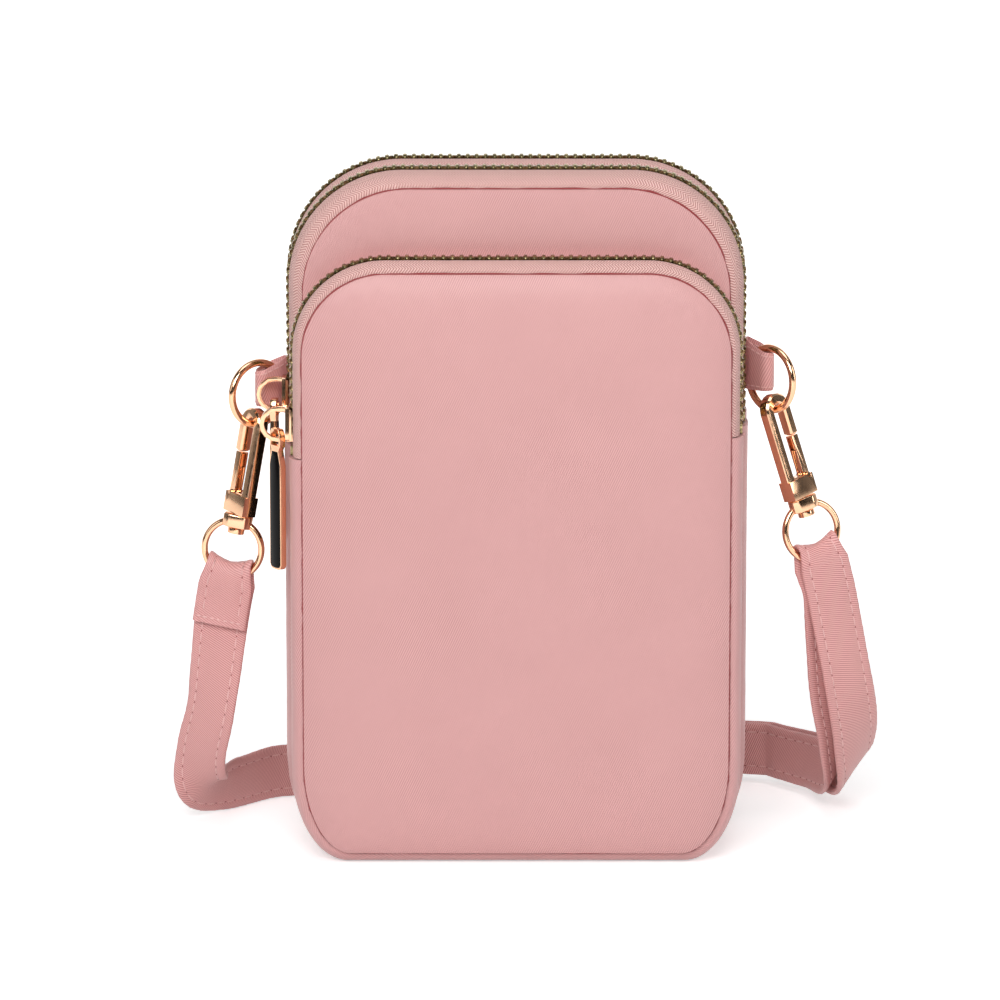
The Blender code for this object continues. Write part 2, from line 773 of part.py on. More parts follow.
def hook_body(side):
    """A J of flat bar on a square base, with the swivel post and its rivet head below."""
    name, frame = f"{side.name}_hook_body", hook_frame(side)
    inner, outer = LOOP_RADIUS, LOOP_RADIUS + ARM_WIDTH
    low, shoulder = hook_base(), hook_base() + BASE_HEIGHT
    outline = [(-outer, low), (outer, low), (outer, shoulder), (-inner, shoulder)]
    outline += [(x, z) for x, z in arc((0, LOOP_HEIGHT), (inner, inner), 180, 0, 6)]
    outline += [(inner, NOSE_HEIGHT), (outer, NOSE_HEIGHT)]
    outline += [(x, z) for x, z in arc((0, LOOP_HEIGHT), (outer, outer), 0, 180, 8)]
    body = prism(name, outline, -HOOK_THICK / 2, HOOK_THICK / 2, rose_gold(), frame)
    bevel(body, HOOK_THICK / 7)
    half = HOOK_BASE_THICK / 2
    block = box(name + "_base", (-outer, -half, low), (outer, half, shoulder - FIT), rose_gold(), frame)
    combine(body, block, "UNION")
    post = bar(name + "_post", (0, 0, RIVET_HEIGHT / 2), (0, 0, low + BASE_HEIGHT / 2), POST_RADIUS, rose_gold(), frame)
    combine(body, post, "UNION")
    head = bar(name + "_rivet", (0, 0, 0), (0, 0, RIVET_HEIGHT), RIVET_RADIUS, rose_gold(), frame)
    combine(body, head, "UNION")
    gap = GATE_HALF_DEPTH + FIT
    floor = PIN_HEIGHT - GATE_THICK
    slot = box(name + "_slot", (inner - 2 * FIT, -gap, floor), (outer + OVERRUN, gap, shoulder + OVERRUN), rose_gold(), frame)
    combine(body, slot, "DIFFERENCE")
    pin = bar(
        name + "_pin_hole",
        (gate_middle(), -half - OVERRUN, PIN_HEIGHT),
        (gate_middle(), half + OVERRUN, PIN_HEIGHT),
        PIN_RADIUS + PIN_FIT,
        rose_gold(),
        frame,
    )
    combine(body, pin, "DIFFERENCE")
    hinge_at(body, frame.translation)


def gate_middle():
    return LOOP_RADIUS + ARM_WIDTH / 2


def gate(side):
    """A pressed channel that closes the hook's mouth, open towards the spine."""
    name, frame = f"{side.name}_gate", hook_frame(side)
    middle, half = gate_middle(), GATE_THICK / 2
    foot = PIN_HEIGHT - half
    top = NOSE_HEIGHT - FIT
    chamfer = half * 0.6
    outline = [(middle - half + chamfer, foot), (middle + half - chamfer, foot), (middle + half, foot + chamfer)]
    outline += [(middle + half, top), (middle - half, top), (middle - half, foot + chamfer)]
    body = prism(name, outline, -GATE_HALF_DEPTH, GATE_HALF_DEPTH, rose_gold(), frame)
    wall = GATE_HALF_DEPTH - GATE_WALL
    groove = box(
        name + "_groove",
        (middle - half - OVERRUN, -wall, foot - OVERRUN),
        (middle + half - 2 * GATE_WALL, wall, top - GATE_WALL),
        rose_gold(),
        frame,
    )
    combine(body, groove, "DIFFERENCE")
    hole = bar(
        name + "_hole",
        (middle, -GATE_HALF_DEPTH - OVERRUN, PIN_HEIGHT),
        (middle, GATE_HALF_DEPTH + OVERRUN, PIN_HEIGHT),
        PIN_RADIUS + PIN_FIT,
        rose_gold(),
        frame,
    )
    combine(body, hole, "DIFFERENCE")
    hinge_at(body, frame @ Vector((middle, 0, PIN_HEIGHT)))


def gate_pin(side):
    half = HOOK_BASE_THICK / 2
    ends = [(gate_middle(), y, PIN_HEIGHT) for y in (-half, half)]
    bar(f"{side.name}_gate_pin", ends[0], ends[1], PIN_RADIUS, rose_gold(), hook_frame(side))


def gate_spring(side):
    """A leaf that rises from the base and bears on the channel's floor."""
    frame = hook_frame(side)
    floor = gate_middle() + GATE_THICK / 2 - 2 * GATE_WALL - SPRING_THICK
    foot = PIN_HEIGHT + PIN_RADIUS + 2 * FIT
    reach = NOSE_HEIGHT - foot
    line = [(floor - GATE_THICK / 3, foot), (floor - GATE_THICK / 4, foot + reach * 0.2), (floor - FIT, foot + reach * 0.55)]
    wide = GATE_HALF_DEPTH - GATE_WALL - FIT / 2
    sections = []
    for x, z in line:
        ring = ((x, -wide), (x + SPRING_THICK / 2, -wide), (x + SPRING_THICK / 2, wide), (x, wide))
        sections.append([frame @ Vector((a, b, z)) for a, b in ring])
    loft(f"{side.name}_gate_spring", sections, rose_gold())


def eye_ring(side):
    """The ring that the strap holds, with the block that the post turns in."""
    name, frame = f"{side.name}_swivel_eye", eye_frame(side)
    ring = torus(name, frame, EYE_RADIUS, EYE_WIRE, rose_gold())
    half = EYE_BLOCK_HEIGHT / 2
    wide, deep = EYE_BLOCK_HALF_WIDTH, EYE_BLOCK_HALF_DEPTH
    outline = [(-wide, -deep / 2), (-wide * 0.6, -deep), (wide * 0.6, -deep), (wide, -deep / 2)]
    outline += [(-x, -y) for x, y in outline]
    sections = [[frame @ Vector((x, y, EYE_RADIUS + z)) for x, y in outline] for z in (-half, half)]
    combine(ring, loft(name + "_block", sections, rose_gold()), "UNION")
    room = EYE_RADIUS - half - RIVET_HEIGHT - FIT
    seat = bar(name + "_rivet_room", (0, 0, room), (0, 0, EYE_RADIUS - half), RIVET_RADIUS + FIT, rose_gold(), frame)
    combine(ring, seat, "DIFFERENCE")
    hole = bar(name + "_hole", (0, 0, room), (0, 0, EYE_RADIUS + half + OVERRUN), POST_RADIUS + FIT, rose_gold(), frame)
    combine(ring, hole, "DIFFERENCE")


Station = namedtuple("Station", "place width_way width cup cup_way")


def smooth_line(points, steps):
    """A smooth curve through points, as vectors, with the last one included."""
    padded = [points[0] * 2 - points[1]] + points + [points[-1] * 2 - points[-2]]
    line = []
    for a, b, c, d in zip(padded, padded[1:], padded[2:], padded[3:]):
        for i in range(steps):
            t = i / steps
            line.append(
                0.5 * ((2 * b) + (c - a) * t + (2 * a - 5 * b + 4 * c - d) * t * t + (3 * b - a - 3 * c + d) * t**3)
            )
    return line + [points[-1]]


def ease(values, steps):
    """Even steps between numbers or vectors, to match smooth_line."""
    made = []
    for a, b in zip(values, values[1:]):
        made += [a + (b - a) * (i / steps) for i in range(steps)]
    return made + [values[-1]]


def ribbon(name, stations, thick, look):
    """A flat strip through stations, slightly fuller along its middle."""
    sections = []
    last = len(stations) - 1
    for i, s in enumerate(stations):
        along = (stations[min(i + 1, last)].place - stations[max(i - 1, 0)].place).normalized()
        wide = (s.width_way - along * s.width_way.dot(along)).normalized()
        face = along.cross(wide)
        section = []
        for across, side in ((-1, -1), (0, -1), (1, -1), (1, 1), (0, 1), (-1, 1)):
            reach = thick / 2 if across == 0 else thick * 0.4
            p = s.place + wide * (across * s.width / 2) + face * (side * reach)
            section.append(p + s.cup_way * (s.cup * abs(across)))
        sections.append(section)
    return loft(name, sections, look)


def strap_pocket(side, outer_reach, inner_reach):
    """Up one face of the eye ring's lower wire, over it and down the other: (place, width, cup) in order."""
    frame = eye_frame(side)
    half = STRAP_THICK / 2
    gap = EYE_WIRE + FIT + half
    sewn = half + FIT
    top = -CREST_DROP
    foot = -EYE_RADIUS - EYE_WIRE - STRAP_THICK
    made = []
    for reach, sign in ((outer_reach, -1), (inner_reach, 1)):
        part = [(sign * gap, top - gap - STRAP_WIDTH * 0.15, STRAP_WIDTH * 0.93, CREST_CUP / 3)]
        part.append((sign * gap, foot + half, STRAP_WIDTH, 0))
        part.append((sign * (gap + sewn) / 2, foot - STRAP_WIDTH * 0.14, STRAP_WIDTH, 0))
        for share in reach:
            part.append((sign * sewn, foot - STRAP_WIDTH * share, STRAP_WIDTH, 0))
        made.append(part)
    over = []
    for i in range(7):
        a = math.pi * i / 6
        over.append((-gap * math.cos(a), top - gap + gap * math.sin(a), CREST_WIDTH, CREST_CUP))
    line = made[0][::-1] + over + made[1]
    up = hook_axis(side)
    level = frame.col[0].to_3d()
    return [Station(frame @ Vector((0, y, z)), level, width, cup, up) for y, z, width, cup in line]


FALL_TIMES = 4


def left_fall(start):
    """From the sewn fold down the left side, round on to the floor and behind the bag."""
    reach = start.place.x
    drop = start.place.z
    back = HANK_BACK
    place_shares = ((1.035, 0.10, 0.62), (1.075, 0.22, 0.36), (1.07, 0.40, 0.17), (0.98, 0.66, 0.098))
    place_shares += ((0.84, 0.93, 0.098), (0.70, 1.0, 0.098))
    points = [start.place] + [Vector((x * reach, y * back, z * drop)) for x, y, z in place_shares]
    level = start.width_way
    ways = [level, Vector((0.87, -0.49, 0)), Vector((0.80, -0.55, 0.25)), Vector((0.50, -0.45, 0.75))]
    ways += [Vector((0.1, -0.1, 1)), Vector((0, 0, 1)), Vector((0, 0, 1))]
    points[-3].z = points[-2].z = points[-1].z = floor_height()
    return points, ways


def floor_height():
    return STRAP_WIDTH / 2 + HANK_LIFT


def right_fall(start, layer):
    """From the fold over the right eye ring down, round on to the floor and back towards the adjuster."""
    reach = start.place.x
    drop = start.place.z
    back = ADJUSTER_BACK
    gap = layer * (STRAP_THICK + FIT) / 2
    bow = gap if layer > 0 else gap * 5.5
    place_shares = ((1.06, 0.08, 0.60), (1.09, 0.22, 0.35), (1.08, 0.42, 0.17), (0.99, 0.70, 0.098), (0.84, 0.90, 0.098))
    points = [start.place] + [Vector((x * reach, y * back, z * drop)) for x, y, z in place_shares]
    face_shares = ((0.55, -0.83), (0.62, -0.78), (0.75, -0.66), (0.75, 0.66), (0.5, 0.87))
    widen_shares = (1, 0.75, 0.4, 0.2, 0.15)
    for i, ((x, y), widen) in enumerate(zip(face_shares, widen_shares)):
        shift = gap + (bow - gap) * widen
        points[i + 1] += Vector((x, y, 0)) * shift
    points[-1].z = points[-2].z = adjuster_height()
    ways = [start.width_way, Vector((0.85, 0.50, 0)), Vector((0.78, 0.52, 0.30)), Vector((0.5, 0.45, 0.75))]
    ways += [Vector((0.1, 0.1, 1)), Vector((0, 0, 1))]
    return points, ways


def adjuster_height():
    return ADJUSTER_WALL + STRAP_WIDTH / 2 + 2 * FIT


def plan_stations(points, height):
    """Stations that stand on edge over plan points."""
    return [Station(Vector((x, y, height)), Vector((0, 0, 1)), STRAP_WIDTH, 0, Vector((0, 0, 1))) for x, y in points]


def half_turn(centre, radius, start, end, steps=5):
    return arc(centre, (radius, radius), start, end, steps)


def hank():
    """Runs side by side behind the bag, joined by half turns, ending to the right."""
    line = []
    radius = HANK_PITCH / 2
    for i in range(HANK_RUNS):
        y = HANK_BACK + i * HANK_PITCH
        towards_right = i % 2 == 0
        end = HANK_HALF_LENGTH if towards_right else -HANK_HALF_LENGTH
        line.append((0, y))
        if i == HANK_RUNS - 1:
            break
        if towards_right:
            line += half_turn((end, y + radius), radius, -90, 90)
        else:
            line += half_turn((end, y + radius), radius, 270, 90)
    return line[1:]


def adjuster_slots():
    """The two slots' middles and the three bars' middles along X."""
    step = ADJUSTER_BAR / 2 + ADJUSTER_SLOT / 2
    return ADJUSTER_X - step, ADJUSTER_X + step


def weave():
    """The long run's way through the adjuster, from the left: in front of the outer bars, behind the middle one."""
    half = STRAP_THICK / 2
    left, right = adjuster_slots()
    bar_out = ADJUSTER_SLOT / 2 + ADJUSTER_BAR
    edge = ADJUSTER_SLOT / 2 - half
    y = ADJUSTER_BACK
    ahead = y - ADJUSTER_HALF_DEPTH - FIT - half
    behind = y + ADJUSTER_HALF_DEPTH + 2 * FIT + STRAP_THICK + half
    line = [(left - bar_out - ADJUSTER_SLOT, ahead), (left - edge, ahead)]
    line += [(left - half / 4, y), (left + ADJUSTER_SLOT / 3, behind)]
    line += [(right - ADJUSTER_SLOT / 3, behind), (right + half / 4, y)]
    line += [(right + edge, ahead), (right + bar_out + ADJUSTER_SLOT, ahead)]
    return line


def end_loop():
    """The sewn end: in front of the right bar and the long run, then round the middle bar."""
    half = STRAP_THICK / 2
    right = adjuster_slots()[1]
    y = ADJUSTER_BACK
    turn = ADJUSTER_BAR / 2 + FIT + half
    outside = turn + STRAP_THICK + FIT
    bar_out = ADJUSTER_SLOT / 2 + ADJUSTER_BAR
    line = [(right + bar_out + ADJUSTER_SLOT, y - outside), (right + ADJUSTER_SLOT / 2, y - outside)]
    return line + half_turn((ADJUSTER_X, y), turn, 270, 30, 8)


def strap():
    """One length: sewn fold at the left eye, hank, adjuster, over the right eye and back to the adjuster."""
    left, right = SIDES
    near_share, far_share = 0.40, 0.75
    stations = strap_pocket(left, (near_share, far_share), (near_share, far_share))
    points, ways = left_fall(stations[-1])
    up = Vector((0, 0, 1))
    line, turns = smooth_line(points, FALL_TIMES), ease(ways, FALL_TIMES)
    stations += [Station(p, w, STRAP_WIDTH, 0, up) for p, w in list(zip(line, turns))[1:]]
    stations += plan_stations(hank(), floor_height())
    bend = HANK_RUNS * HANK_PITCH / 2
    last_y = HANK_BACK + (HANK_RUNS - 1) * HANK_PITCH
    across, woven = [], weave()
    across.append((-HANK_HALF_LENGTH + bend, last_y))
    stations += plan_stations(across, floor_height())
    stations += plan_stations(woven, adjuster_height())
    outer = strap_pocket(right, (near_share,), (near_share,))
    points, ways = right_fall(outer[0], 1)
    line, turns = smooth_line(points, FALL_TIMES), ease(ways, FALL_TIMES)
    stations += [Station(p, w, STRAP_WIDTH, 0, up) for p, w in list(zip(line, turns))[:0:-1]]
    stations += outer
    points, ways = right_fall(outer[-1], -1)
    line, turns = smooth_line(points, FALL_TIMES), ease(ways, FALL_TIMES)
    stations += [Station(p, w, STRAP_WIDTH, 0, up) for p, w in list(zip(line, turns))[1:]]
    stations += plan_stations(end_loop(), adjuster_height())
    ribbon("strap", stations, STRAP_THICK, webbing())


def adjuster():
    """A flat frame with a middle bar, standing on edge."""
    bar_out = ADJUSTER_SLOT + 3 * ADJUSTER_BAR / 2
    room = STRAP_WIDTH + 4 * FIT
    height = room + 2 * ADJUSTER_WALL
    y, deep = ADJUSTER_BACK, ADJUSTER_HALF_DEPTH
    body = box("strap_adjuster", (ADJUSTER_X - bar_out, y - deep, 0), (ADJUSTER_X + bar_out, y + deep, height), rose_gold())
    for i, middle in enumerate(adjuster_slots()):
        half = ADJUSTER_SLOT / 2
        low, high = ADJUSTER_WALL, ADJUSTER_WALL + room
        near, far = (middle - half, y - deep - OVERRUN, low), (middle + half, y + deep + OVERRUN, high)
        combine(body, box(f"adjuster_slot_{i}", near, far, rose_gold()), "DIFFERENCE")
    bevel(body, ADJUSTER_BAR / 5)


def main():
    clear_scene()
    panel("front_panel", FRONT_SEAM, FRONT_FACE, PANEL_CROWN, cloth())
    partition("middle_panel", MIDDLE_SEAM, POCKET_BACK)
    partition("rear_partition", REAR_SEAM, REAR_PARTITION)
    panel("back_panel", BACK_SEAM, BACK_PANEL, PANEL_CROWN, cloth(), towards=1)
    for band in bands():
        gusset(band)
        tapes(band)
        chain(band)
        zip_stops(band)
        slider(band)
        pull(band)
    for side in SIDES:
        tab(side)
        tab_ring(side)
        hook_body(side)
        gate(side)
        gate_pin(side)
        gate_spring(side)
        eye_ring(side)
    strap()
    adjuster()


main()
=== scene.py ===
# The look of a small upright crossbody bag with three zipped compartments and a clip-on strap.
# Metres, +Z up, front towards -Y.

import json
import math
from collections import namedtuple

import bmesh
import bpy
from mathutils import Matrix, Vector, noise

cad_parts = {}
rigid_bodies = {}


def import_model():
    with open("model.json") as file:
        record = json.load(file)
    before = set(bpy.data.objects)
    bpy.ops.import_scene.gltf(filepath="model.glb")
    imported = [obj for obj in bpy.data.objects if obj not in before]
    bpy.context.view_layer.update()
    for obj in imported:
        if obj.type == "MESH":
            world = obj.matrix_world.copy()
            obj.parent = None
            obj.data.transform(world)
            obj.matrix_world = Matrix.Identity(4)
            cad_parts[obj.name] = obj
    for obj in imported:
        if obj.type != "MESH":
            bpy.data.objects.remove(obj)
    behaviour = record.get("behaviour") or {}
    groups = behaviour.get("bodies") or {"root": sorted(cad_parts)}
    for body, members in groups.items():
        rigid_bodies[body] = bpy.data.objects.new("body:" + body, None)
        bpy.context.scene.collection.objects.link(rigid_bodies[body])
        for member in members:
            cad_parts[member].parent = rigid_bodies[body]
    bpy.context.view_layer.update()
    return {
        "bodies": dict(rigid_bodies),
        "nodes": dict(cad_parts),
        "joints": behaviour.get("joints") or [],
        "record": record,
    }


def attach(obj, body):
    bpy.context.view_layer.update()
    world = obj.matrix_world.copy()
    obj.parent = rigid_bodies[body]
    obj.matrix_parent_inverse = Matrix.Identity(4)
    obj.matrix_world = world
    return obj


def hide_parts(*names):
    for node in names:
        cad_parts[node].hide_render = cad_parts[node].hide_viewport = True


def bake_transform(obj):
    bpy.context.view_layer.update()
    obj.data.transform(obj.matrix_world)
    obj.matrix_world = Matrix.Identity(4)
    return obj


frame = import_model()

WALL = 0.0012
SEAM_GAP = 0.0003
FRONT_DEPTH = 0.0142
MIDDLE_DEPTH = 0.0194
REAR_DEPTH = 0.0160
BAG_HALF_WIDTH = 0.0588
BAG_HEIGHT = 0.1888
POCKET_HEIGHT = 0.1665
BASE_LIFT = 0.0035
SIDE_BULGE = 0.0042
POCKET_BULGE = 0.0028
BELLY_SHARE = 1.35
TOP_BULGE = 0.0032
PANEL_CROWN = 0.0038
LOW_CORNER_WIDTH = 0.0130
LOW_CORNER_HEIGHT = 0.0250
POCKET_CORNER = 0.0230
BAG_CORNER = 0.0290
CORNER_GROWTH = 0.0025
ARCH_POWER = 2.6
FLAT_SHARE = 0.24
TAPE_WALL = 0.0010
CHAIN_HALF_WIDTH = 0.0021
CHAIN_RISE = 0.0006
TOOTH_PITCH = 0.0025
ZIP_RIGHT_SHARE = 0.64
ZIP_LEFT_SHARE = 0.6135
POCKET_ZIP_RIGHT_SHARE = 0.7264
POCKET_ZIP_LEFT_SHARE = 0.6896
STOP_LENGTH = 0.0026
SLIDER_LENGTH = 0.0098
SLIDER_PLATE = 0.0011
SLIDER_FIT = 0.0003
SLIDER_POST_LENGTH = 0.0026
SLIDER_RISE = 0.0039
BAIL_RADIUS = 0.0043
BAIL_LEG = 0.00225
BAIL_THICK = 0.0012
PULL_LENGTH = 0.0350
PULL_HALF_WIDTH = 0.0028
PULL_THICK = 0.0018
PULL_EYE_FIT = 0.0010
PULL_EYE_BAR = 0.0014
RING_RADIUS = 0.0087
RING_WIRE = 0.00105
FIT = 0.0003
TAB_LAYER = 0.0009
TAB_FOLD_LENGTH = 0.0104
LOOP_HEIGHT = 0.0314
RIVET_HEIGHT = 0.0014
EYE_BLOCK_HEIGHT = 0.0037
EYE_BLOCK_HALF_WIDTH = 0.0040
EYE_BLOCK_HALF_DEPTH = 0.0026
EYE_RADIUS = 0.0081
EYE_WIRE = 0.00095
STRAP_WIDTH = 0.0154
STRAP_THICK = 0.0016
CREST_WIDTH = 0.0124
CREST_DROP = 0.0046
CREST_CUP = 0.0023
HANK_BACK = 0.0500
HANK_HALF_LENGTH = 0.0520
HANK_PITCH = 0.0026
HANK_RUNS = 7
HANK_LIFT = 0.0004
HANK_STEPS = 5
ADJUSTER_X = 0.0180
ADJUSTER_BACK = 0.0745
ADJUSTER_BAR = 0.0018
ADJUSTER_SLOT = 0.0070
ADJUSTER_WALL = 0.0018
ADJUSTER_HALF_DEPTH = 0.0009
FLOOR_HEIGHT = STRAP_WIDTH / 2 + HANK_LIFT
ADJUSTER_HEIGHT = ADJUSTER_WALL + STRAP_WIDTH / 2 + 2 * FIT
FALL_TIMES = 4
FALL_BOW = 5.5
UP = Vector((0, 0, 1))
Y_WAY = Vector((0, 1, 0))

# Falls of the strap: shares of its place (none where it lies on the floor), the way its
# width points, the way its two layers part in plan, and how wide they part.
LEFT_FALL_SHARES = (
    ((1.035, 0.10, 0.62), (0.87, -0.49, 0), (0, 0), 0),
    ((1.075, 0.22, 0.36), (0.80, -0.55, 0.25), (0, 0), 0),
    ((1.07, 0.40, 0.17), (0.50, -0.45, 0.75), (0, 0), 0),
    ((0.98, 0.66, 0), (0.1, -0.1, 1), (0, 0), 0),
    ((0.84, 0.93, 0), (0, 0, 1), (0, 0), 0),
    ((0.70, 1.0, 0), (0, 0, 1), (0, 0), 0),
)
RIGHT_FALL_SHARES = (
    ((1.06, 0.08, 0.60), (0.85, 0.50, 0), (0.55, -0.83), 1),
    ((1.09, 0.22, 0.35), (0.78, 0.52, 0.30), (0.62, -0.78), 0.75),
    ((1.08, 0.42, 0.17), (0.5, 0.45, 0.75), (0.75, -0.66), 0.4),
    ((0.99, 0.70, 0), (0.1, 0.1, 1), (0.75, 0.66), 0.2),
    ((0.84, 0.90, 0), (0, 0, 1), (0.5, 0.87), 0.15),
)

# How finely the visible pieces are divided.
FINE_CORNER = 26
FINE_SIDE = 22
PANEL_RINGS = 26
GUSSET_STEPS = 20
TAPE_STEPS = 12
TAB_STEPS = 8
TAB_TURN_STEPS = 12
RING_STEPS = 96
WIRE_SIDES = 20
CORD_SIDES = 8
TOOTH_SIDES = 8
THREAD_SIDES = 5
THREAD_STEPS = 4
STRAP_STEP = 0.0016
WELD = 0.00001

# Cloth: how far the seams draw it in, and its slow dents and swells.
PUCKER = 0.00022
PUCKER_LENGTH = 0.0065
PUCKER_REACH = 0.0085
WRINKLE = 0.00036
WRINKLE_LENGTH = 0.034
EDGE_FADE = 0.001
GUSSET_FADE = 0.0012
FOLD_FADE = 0.012
LINING_FADE = 0.02
STIFF_HEIGHT = 0.02
STIFF_SHARE = 0.3
DENT_SHARE = 0.6
ROLL_REACH = 0.0032
ROLL_SHARE = 0.42
SWELL_SHARE = 0.62
LINING_CROWN_SHARE = 0.3
MIDDLE_CROWN = 0.0004
PARTITION_CROWN = 0.0002

# Seams, stitches and the strap's edges.
SEAM_CORD = 0.00041
SEAM_SWAY_SHARE = 0.9
STITCH_LENGTH = 0.0029
STITCH_GAP = 0.0008
STITCH_RADIUS = 0.00021
STITCH_PROUD = 0.00006
STITCH_ARCH_SHARE = 0.9
STITCH_SUNK_SHARE = 0.8
STITCH_SHARE = 0.66
HOLE_LIFTS = [-STITCH_RADIUS / 6] * 3
HOLE_TIMES = 1.2
DIP_SHARE = 0.06
EDGE_SWAY = 0.00018
EDGE_SWAY_LENGTH = 0.012
EDGE_SHARE = 0.9
STRAP_RIPPLE_SHARE = 0.45
STRAP_RIPPLE_TIMES = 1.7
RIPPLE_SHIFT = 0.004
RIPPLE_LENGTH = 0.02
CUP_POWER = 1.6
ACROSS_SHARES = (0, 0.33, 0.58, 0.66, 0.74, 0.82, 0.93, 0.985, 1)
SEWN_ROW_SHARE = 0.64
SEWN_SPAN_SHARE = 0.88
SEWN_STITCHES = 7
SEWN_LENGTH_SHARE = 0.72
SEWN_SUNK_SHARE = 0.45
SEWN_TIMES = 1.15
TAB_ROW_SHARES = (0, 0.03, 0.1, 0.3, 0.5, 0.7, 0.9, 0.97, 1)
TAB_STITCH_SHARES = (0.12, 0.3, 0.5, 0.7, 0.88)
TAB_ROOT_SHARE = 0.7
TAB_OPENING = 2.2

# Metal: (across, thickness, height) shares of each of a tooth's cross-sections.
TOOTH_SHARES = (
    (0.30, 0.62, 0.72),
    (0.38, 0.95, 0.95),
    (-0.10, 1.0, 1.0),
    (-0.34, 0.72, 0.9),
    (-0.46, 1.0, 0.86),
    (-0.78, 0.86, 0.6),
    (-0.92, 0.5, 0.35),
)
TOOTH_HALF_SHARE = 0.315
TOOTH_TOP_SHARE = 1.38
TOOTH_OUT_SHARE = 0.52
TOOTH_SQUARE = 1.28
SOFT_EDGE = 0.00042
ENAMEL_RIM_SHARE = 0.12
ENAMEL_DEPTH_SHARES = (0.42, 0.535)
GOLD_WORDS = ("slider", "hook", "gate", "eye", "adjuster", "pull")

# Weaves and finishes. Scales are per metre.
TWILL_PITCH = 0.00058
TAPE_PITCH = 0.0008
TAPE_COLUMN = 0.0016
TAPE_SLANT = 0.8
WAVE_FACTOR = 20
PATCH_SCALE = 28
TONE_SCALE = 45
GRAIN_SCALE = 2600
RUB_SCALE = 900
METAL_SCALE = 260
ENAMEL_SCALE = 220
PATINA_SCALE = 1400
TWILL_RISE = 0.00012
GRAIN_RISE = 0.00008
TAPE_RISE = 0.0002
METAL_RISE = 0.0003
THREAD_RISE = 0.0001
CLOTH_COLOURS = ((0.60, 0.285, 0.28), (0.80, 0.465, 0.455))
STRAP_COLOURS = ((0.57, 0.215, 0.21), (0.93, 0.53, 0.505))
TONE_COLOURS = ((0.945, 0.935, 0.935), (0.975, 0.972, 0.972))
TAPE_COLOURS = ((0.52, 0.24, 0.22), (0.86, 0.575, 0.53))
BRASS_COLOURS = ((0.10, 0.08, 0.035), (0.55, 0.45, 0.235))
ROSE_GOLD = (0.95, 0.58, 0.36)
BLACK = (0.004, 0.003, 0.003)
PINK_THREAD = (0.84, 0.50, 0.48)
# Dark red seam colour, also worn by the strap's needle holes: partly the thread's own colour, partly
# painted shadow of the seam groove and painted shade in the holes.
SEAM_THREAD_AND_SHADE = (0.30, 0.035, 0.035)
SHEEN_TINT = (1.0, 0.85, 0.82, 1)
PAPER = (0.9, 0.9, 0.9)
WHITE = (1, 1, 1)
DIM = (0.03, 0.03, 0.03)

# Paper, lights and camera.
FLOOR_HALF = 3.0
PAPER_STEPS = 24
PAPER_GLOW = 0.5
PAPER_FAR_GLOW = 1.1
GLOW_STARTS = 0.1
GLOW_ENDS = 0.8
ROOM_STRENGTH = 0.55
CAMERA_DISTANCE = 1.8
CAMERA_SIDE = -0.0045
AIM_HEIGHT = 0.0981
AIM_SLOPE = 0.2105
LENS = 237.3
SENSOR = 36
CLIP_END = 20
LIGHTS = (
    ("front_box", (-0.2, -1.25, 0.88), (0.85, 0.62), 14.3),
    ("left_box", (-1.3, -0.6, 0.7), (0.5, 0.9), 2.6),
    ("right_box", (1.3, -0.5, 0.6), (0.4, 0.9), 4.6),
    ("top_box", (0, -0.3, 1.5), (1.0, 0.8), 6),
)

Outline = namedtuple("Outline", "half_width bottom top low_width low_height high")
Band = namedtuple("Band", "name near crest belly far start depth zip_left zip_right slider twist")
Side = namedtuple("Side", "name sign ring_yaw lean eye_yaw ring_share root_shares fold_shares")


def volume(points, faces):
    total = 0
    for face in faces:
        first = Vector(points[face[0]])
        for a, b in zip(face[1:], face[2:]):
            total += first.dot(Vector(points[a]).cross(Vector(points[b])))
    return total


def around(sides):
    return [math.tau * (i + 0.5) / sides for i in range(sides)]


def arc(centre, radii, start, end, steps):
    """Points on an ellipse between two angles in degrees, both ends included."""
    turn = [math.radians(start + (end - start) * i / steps) for i in range(steps + 1)]
    return [(centre[0] + radii[0] * math.cos(a), centre[1] + radii[1] * math.sin(a)) for a in turn]


def straight(start, end, steps):
    """Points from start to end, with the start left out."""
    share = [(i + 1) / steps for i in range(steps)]
    return [tuple(a + (b - a) * s for a, b in zip(start, end)) for s in share]


def half_run(side, z, half_width, corner, ends, steps, sides):
    """Half of an outline from its corners' height z: along one side, round both corners and back."""
    w = side * half_width
    turn = 90 - 90 * side
    near, far = (w - side * corner[0], z), (side * corner[0] - w, z)
    run = [(w, ends[0])]
    run += straight(run[-1], (w, z), sides)
    run += arc(near, corner, turn, turn + 90, steps)[1:]
    run += straight(run[-1], (far[0], z + side * corner[1]), sides)
    run += arc(far, corner, turn + 90, turn + 180, steps)[1:]
    run += straight(run[-1], (-w, ends[1]), sides)
    return run


def lower_run(o, left_end, right_end, steps=FINE_CORNER, sides=FINE_SIDE):
    """Round the bottom, from the left zip end to the right one."""
    corner = (o.low_width, o.low_height)
    ends = (left_end, right_end)
    return half_run(-1, o.bottom + o.low_height, o.half_width, corner, ends, steps, sides)


def upper_run(o, left_end, right_end, steps=FINE_CORNER, sides=FINE_SIDE):
    """Over the top, from the right zip end to the left one."""
    ends = (right_end, left_end)
    return half_run(1, o.top - o.high, o.half_width, (o.high, o.high), ends, steps, sides)


def inset(o, by):
    """The outline drawn in, with its corners kept to a third of their size or more."""
    low_width, low_height, high = (max(v - by, v / 3) for v in (o.low_width, o.low_height, o.high))
    return Outline(o.half_width - by, o.bottom + by, o.top - by, low_width, low_height, high)


def seam(half_width, top, corner):
    return Outline(half_width, BASE_LIFT, top, LOW_CORNER_WIDTH, LOW_CORNER_HEIGHT, corner)


